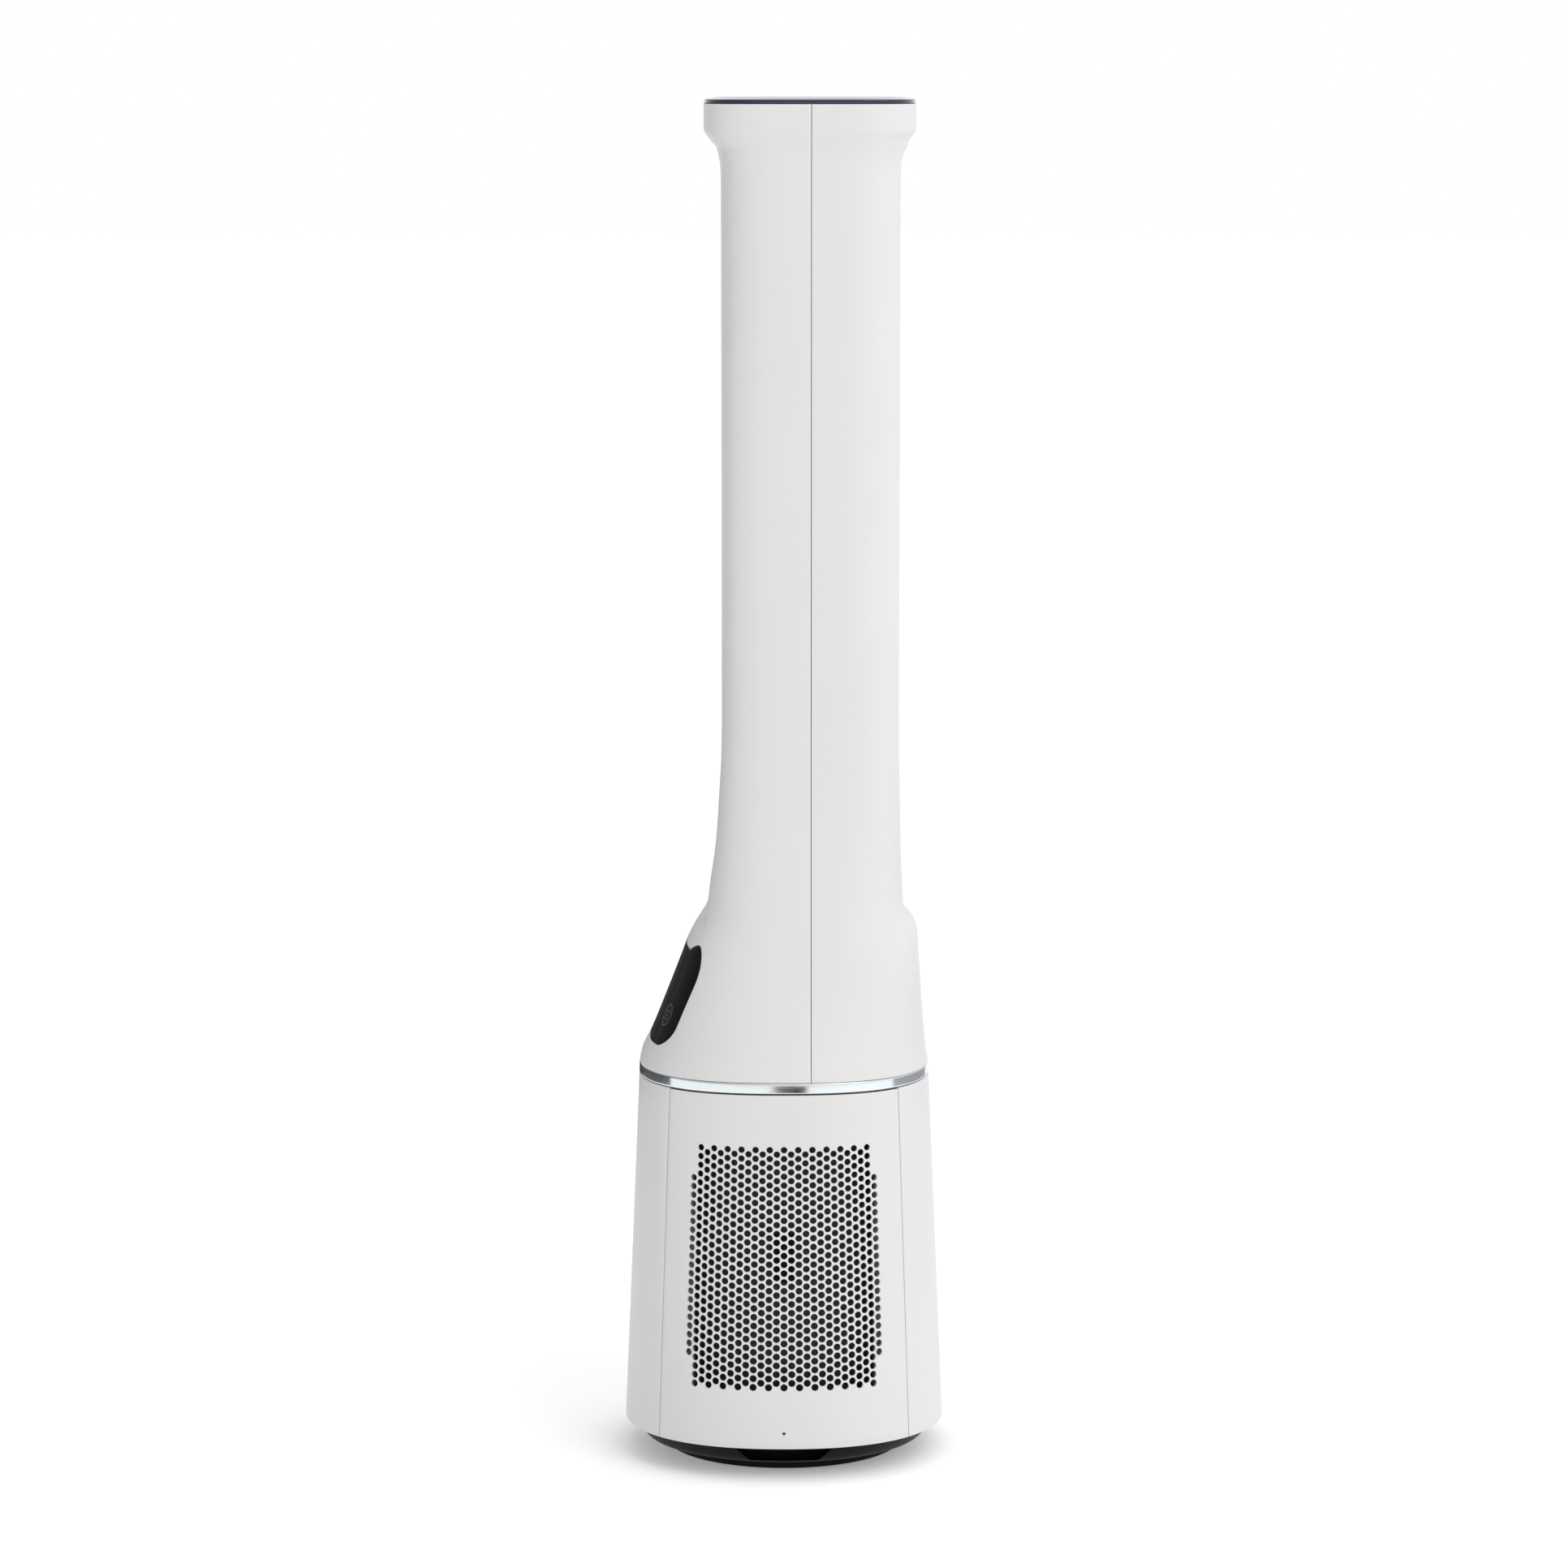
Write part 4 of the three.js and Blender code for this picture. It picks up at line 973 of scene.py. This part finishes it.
def panelMesh(way):
    # Front (way -1) or rear (+1) wall between the two cover seams; the rear one has the inlet's opening.
    wide, near = base["inletHalf"], base["inletShare"]
    xs = [-1 + k / 20 for k in range(18)] + [-near, 0.0, near] + [0.15 + k / 20 for k in range(18)]
    zs = [coverLow, coverLow + 5, base["inletLow"], 44, 51, base["inletHigh"]]
    zs += [mix(base["inletHigh"], baseHigh, k / 16) for k in range(1, 17)]

    def place(i, j):
        z = zs[j]
        seamY = cover["seamShare"] * baseSection(z)[1] + cover["seamGap"] / 2
        seamAngle = angleAtY(baseSection, way * seamY, z)
        inletAngle = angleAtX(baseSection, wide, z, way)
        middle = way * math.pi / 2
        share = abs(xs[i])
        if share <= near:
            angle = mix(middle, inletAngle, share / near)
        else:
            angle = mix(inletAngle, seamAngle, (share - near) / (1 - near))
        point = wallPoint(baseSection, angle, z)
        if xs[i] < 0:
            point.x = -point.x
        return point

    def keep(i, j):
        overInlet = abs(xs[i] + xs[i + 1]) / 2 < near and base["inletLow"] <= zs[j] < base["inletHigh"]
        return way < 0 or not overInlet

    bm = gridSheet(len(xs) - 1, len(zs) - 1, place, keep)
    faceOut(bm, lambda point: Vector((point.x, point.y, 0)))
    thicken(bm, base["panelWall"])
    roundEdges(bm, form["edgeRound"], angle=60)
    return bm


def ringMesh():
    def place(i, j):
        angle = twoPi * i / base["roundSteps"]
        return wallPoint(towerSection, angle, mix(baseHigh + base["ringGap"], ringTop, j / 6))

    bm = gridSheet(base["roundSteps"], 6, place)
    weld(bm)
    faceOut(bm, lambda point: Vector((point.x, point.y, 0)))
    thicken(bm, base["ringWall"])
    roundEdges(bm, base["ringEdge"], angle=60, segments=4)
    return bm


def lidMesh():
    # Rows as (drawn in, height): under the rim, up its side, over the rounded edge, up the slope to the top.
    low, high = shellTop + base["lidGap"], fullHeight
    inset, slope, drop, edge = base["lidInset"], base["lidSlope"], base["lidSlopeHeight"], base["lidEdge"]
    rows = [(inset + 6, low), (inset + 0.4, low), (inset, low + 0.4), (inset, high - drop - edge)]
    rows += [(inset + edge * (1 - math.cos(a)), high - drop - edge + edge * math.sin(a))
             for a in (math.radians(20 * k) for k in range(1, 5))]
    rows += [(mix(inset + edge, slope, k / 5), mix(high - drop, high, k / 5)) for k in range(1, 6)]
    rows += [(slope + 6, high), (slope + 30, high)]

    def place(i, j):
        angle = twoPi * i / base["roundSteps"]
        if j > len(rows) - 1:
            return Vector((0, towerSection(shellTop)[0], high)) * mm
        drawn, z = rows[j]
        return wallPoint(lambda height: towerSection(shellTop), angle, z, drawn)

    bm = gridSheet(base["roundSteps"], len(rows), place)
    weld(bm)
    faceOut(bm, lambda point: Vector((point.x, point.y - 0.02, point.z - 1.0)))
    return bm


makePiece("baseFrontPanel", panelMesh(-1), "tower", "white_shell", ("base_front_panel",))
makePiece("baseRearPanel", panelMesh(1), "tower", "white_shell", ("base_rear_panel",))
makePiece("trimRing", ringMesh(), "tower", "bright_ring", ("trim_ring",))
makePiece("topLid", lidMesh(), "tower", "navy_lid", ("top_lid",))
print("base panels, ring and lid ready")

# ---- Display lens and the gap's inner walls ----

display = {
    "wall": 2.6,
    "sink": 0.15,  # how far the lens's face lies under the shell's
    "keyPlace": (51.0, 372.0),
    "keyRadius": 8.6,
    "keyLine": 0.35,
    "dotCircle": 4.4,
    "barSize": (3.2, 0.5),
    "printHeight": 0.06,
    "panelWall": 2.2,
    "panelGap": 0.15,  # between the wing's edge and the wall beside it
    "panelIn": 7.0,  # from the wing's front and rear faces to the wall's edges
    "panelLow": 4.5,
    "panelHigh": 0.2,
    "slotFront": 39.0,
    "slotRear": 51.0,
    "slotLow": 490.0,
    "slotEnd": 14.0,  # from the slot's upper end to the gap's ceiling
}


def lensMesh():
    columns, rows = 96, 24

    def place(i, j):
        x = opening["lensHalf"] * math.sin(math.pi * (i / columns - 0.5))
        return onFront(x, mix(lensLow(x), lensHigh(x), j / rows), display["sink"])

    bm = gridSheet(columns, rows, place)
    weld(bm)
    faceOut(bm, lambda point: Vector((0, -1, 0)))
    thicken(bm, display["wall"])
    roundEdges(bm, 0.4, angle=60)
    return bm


def keyMarks():
    # A thin printed circle with four dots and a bar in it, for the touch keys at the lens's side.
    middleX, middleZ = display["keyPlace"]
    sheets = []
    depth, (barWide, barTall) = display["sink"] - display["printHeight"], display["barSize"]

    def patch(columns, rows, at):
        sheets.append(gridSheet(columns, rows, lambda i, j: onFront(*at(i / columns, j / rows), depth)))

    def onCircle(radius, turn, x=middleX, z=middleZ):
        return x + radius * math.cos(twoPi * turn), z + radius * math.sin(twoPi * turn)

    patch(64, 1, lambda a, b: onCircle(display["keyRadius"] - b * display["keyLine"], a))
    for turn in (0.12, 0.38, 0.62, 0.88):
        dotX, dotZ = onCircle(display["dotCircle"], turn)
        patch(16, 1, lambda a, b: onCircle(0.6 * b + 0.05, a, dotX, dotZ))
    patch(4, 1, lambda a, b: (middleX + barWide * (a - 0.5), middleZ + barTall * (b - 0.5)))
    bm = joined(sheets)
    weld(bm, 0.000005)
    faceOut(bm, lambda point: Vector((0, -1, 0)))
    thicken(bm, 0.1)
    return bm


def gapPanelMesh():
    slotHigh = ceiling - display["slotEnd"]
    zs = [mix(gapFloor + display["panelLow"], display["slotLow"], k / 4) for k in range(4)]
    zs += [mix(display["slotLow"], slotHigh, k / 40) for k in range(41)] + [ceiling + display["panelHigh"]]
    steps, inward = 12, display["panelIn"]

    def place(i, j):
        z = zs[j]
        x = gapHalf(z) + display["panelGap"]
        front = wallPoint(towerSection, angleAtX(towerSection, x, z, -1), z).y / mm + inward
        rear = wallPoint(towerSection, angleAtX(towerSection, x, z, 1), z).y / mm - inward
        if i <= steps:
            y = mix(front, display["slotFront"], i / steps)
        else:
            y = mix(display["slotRear"], rear, (i - steps - 1) / steps)
        return Vector((x, y, z)) * mm

    bm = gridSheet(2 * steps + 1, len(zs) - 1, place,
                   lambda i, j: i != steps or zs[j] < display["slotLow"] - 0.1 or zs[j] > slotHigh - 0.1)
    faceOut(bm, lambda point: Vector((-1, 0, 0)))
    thicken(bm, display["panelWall"])
    roundEdges(bm, 0.6, angle=60, segments=3)
    return bm


makePiece("displayLens", lensMesh(), "tower", "smoked_lens", ("display_lens",))
makePiece("displayKeyMarks", keyMarks(), "tower", "grey_plastic")
for side, way in (("right", 1), ("left", -1)):
    bm = gapPanelMesh()
    if way < 0:
        bmesh.ops.scale(bm, verts=bm.verts, vec=(-1, 1, 1))
        bmesh.ops.reverse_faces(bm, faces=bm.faces[:])
    makePiece(f"{side}GapPanel", bm, "tower", "white_shell", (f"gap_panel_{side}",))
print("lens and gap panels ready")

# ---- Plinth and foot ----

plinth = {
    "low": 8.6,
    "high": 26.3,
    "floorLow": 10.6,
    "floorHigh": 13.0,
    "upperHalf": 124.0,
    "wall": 3.0,
    "hole": 66.0,
    "skirt": 84.0,
    "recessTop": 42.0,  # half widths of the finger recess
    "recessLow": 28.0,
    "recessBottom": 12.6,
    "recessDepth": 11.0,
    # height, how far drawn in, and the section's power
    "outline": [(8.6, 20, 2.1), (12.0, 10, 2.15), (15.0, 6.5, 2.2), (26.3, 0, 2.3)],
}
plinthAt = smoothProfile(plinth["outline"])


def plinthSection(z):
    drawn, power = plinthAt(z)
    half = plinth["upperHalf"] - drawn
    return 0.0, half, half, power


def plinthMesh():
    # One closed profile swept round: floor, outside, rim and inside. Columns close up at the recess's edges.
    wall, low, high = plinth["wall"], plinth["low"], plinth["high"]
    outside = [8.9, 9.6, 10.6, 11.6, 12.0, 12.6, 13.2, 15.0, 17.5, 20.0, 22.5, 25.0, 25.8]
    skirt = plinth["skirt"]
    profile = [("flat", skirt, plinth["floorLow"]), ("flat", skirt, low), ("drawn", 0.3, low)]
    profile += [("drawn", 0.0, z) for z in outside] + [("drawn", 0.15, high - 0.15), ("drawn", 0.5, high)]
    profile += [("drawn", wall - 0.5, high), ("drawn", wall - 0.15, high - 0.15)]
    profile += [("drawn", wall, z) for z in (25.8, 22.5, 20.0, 17.5, 15.0, plinth["floorHigh"])]
    profile += [("flat", plinth["hole"], plinth["floorHigh"]), ("flat", plinth["hole"], plinth["floorLow"])]
    steps = [0.0, 0.2, 0.4, 0.6, 0.8, 0.9, 0.965, 1.0, 1.03] + [mix(1.07, 2.0, k / 12) for k in range(13)]
    count = len(steps) - 1

    def recessHalf(z):
        share = (z - plinth["recessBottom"]) / (high - plinth["recessBottom"])
        return mix(plinth["recessLow"], plinth["recessTop"], min(max(share, 0.0), 1.0))

    def inQuarter(step, j):
        share = steps[step]
        kind, value, z = profile[j % len(profile)]
        height = z if kind == "drawn" else high
        edge = angleAtY(plinthSection, recessHalf(height), height)
        angle = share * edge if share <= 1.07 else mix(1.07 * edge, math.pi / 2, (share - 1.07) / 0.93)
        if kind == "flat":
            return Vector((value * math.cos(angle), value * math.sin(angle), z)) * mm
        point = wallPoint(plinthSection, angle, z, value)
        inside = ease((1.0 - share) / 0.035) * ease((z - plinth["recessBottom"]) / 0.8)
        point.x -= plinth["recessDepth"] * inside * mm
        return point

    def place(i, j):
        # Every second quarter mirrors the one before, so its columns run the other way.
        quarter, step = divmod(i % (4 * count), count)
        point = inQuarter(step if quarter % 2 == 0 else count - step, j)
        point.x *= 1 if quarter in (0, 3) else -1
        point.y *= 1 if quarter in (0, 1) else -1
        return point

    bm = gridSheet(4 * count, len(profile), place)
    weld(bm)
    return bm


def turned(profile, sides=96, middle=(0.0, 0.0)):
    # A closed profile of (radius, height) turned round an upright axis.
    bm = bmesh.new()
    bmesh.ops.create_circle(bm, segments=len(profile), radius=1)
    ring = sorted(bm.verts, key=lambda v: math.atan2(v.co.y, v.co.x))
    for v, (radius, z) in zip(ring, profile):
        v.co = Vector((radius, 0, z)) * mm
    bmesh.ops.spin(bm, geom=bm.verts[:] + bm.edges[:], cent=(0, 0, 0), axis=(0, 0, 1), angle=twoPi,
                   steps=sides, use_merge=True)
    bmesh.ops.translate(bm, verts=bm.verts, vec=(middle[0] * mm, middle[1] * mm, 0))
    bmesh.ops.recalc_face_normals(bm, faces=bm.faces[:])
    return bm


foot = {
    "radius": 97.7,
    "low": 1.2,
    "high": 8.3,
    "bore": 20.3,
    "recessRadius": 28.3,  # under the bore, for the retaining ring
    "recessHigh": 4.3,
    "padRadius": 9.0,
    "padCircle": 82.0,
    "padHeight": 3.7,
}


def footMesh():
    radius, low, high, bore = foot["radius"], foot["low"], foot["high"], foot["bore"]
    recess, step = foot["recessRadius"], foot["recessHigh"]
    profile = [(bore, high), (bore, step), (recess, step), (recess, low), (radius - 3, low),
               (radius - 1.2, low + 0.5), (radius - 0.3, low + 1.6), (radius, low + 3.0),
               (radius, high - 1.0), (radius - 0.3, high - 0.3), (radius - 1.0, high)]
    return turned(profile, sides=160)


makePiece("plinthDish", plinthMesh(), "tower", "black_plastic", ("plinth",))
makePiece("footDisc", footMesh(), "foot", "black_plastic", ("foot_disc",))
for k in range(4):
    angle = math.radians(45 + 90 * k)
    middle = (foot["padCircle"] * math.cos(angle), foot["padCircle"] * math.sin(angle))
    radius, high = foot["padRadius"], foot["padHeight"]
    profile = [(0.3, 0.0), (radius - 1.2, 0.0), (radius - 0.3, 0.4), (radius, 1.2), (radius, high),
               (0.3, high)]
    makePiece(f"rubberPad{k + 1}", turned(profile, 48, middle), "foot", "rubber", (f"rubber_foot_{k + 1}",))
print("plinth and foot ready")
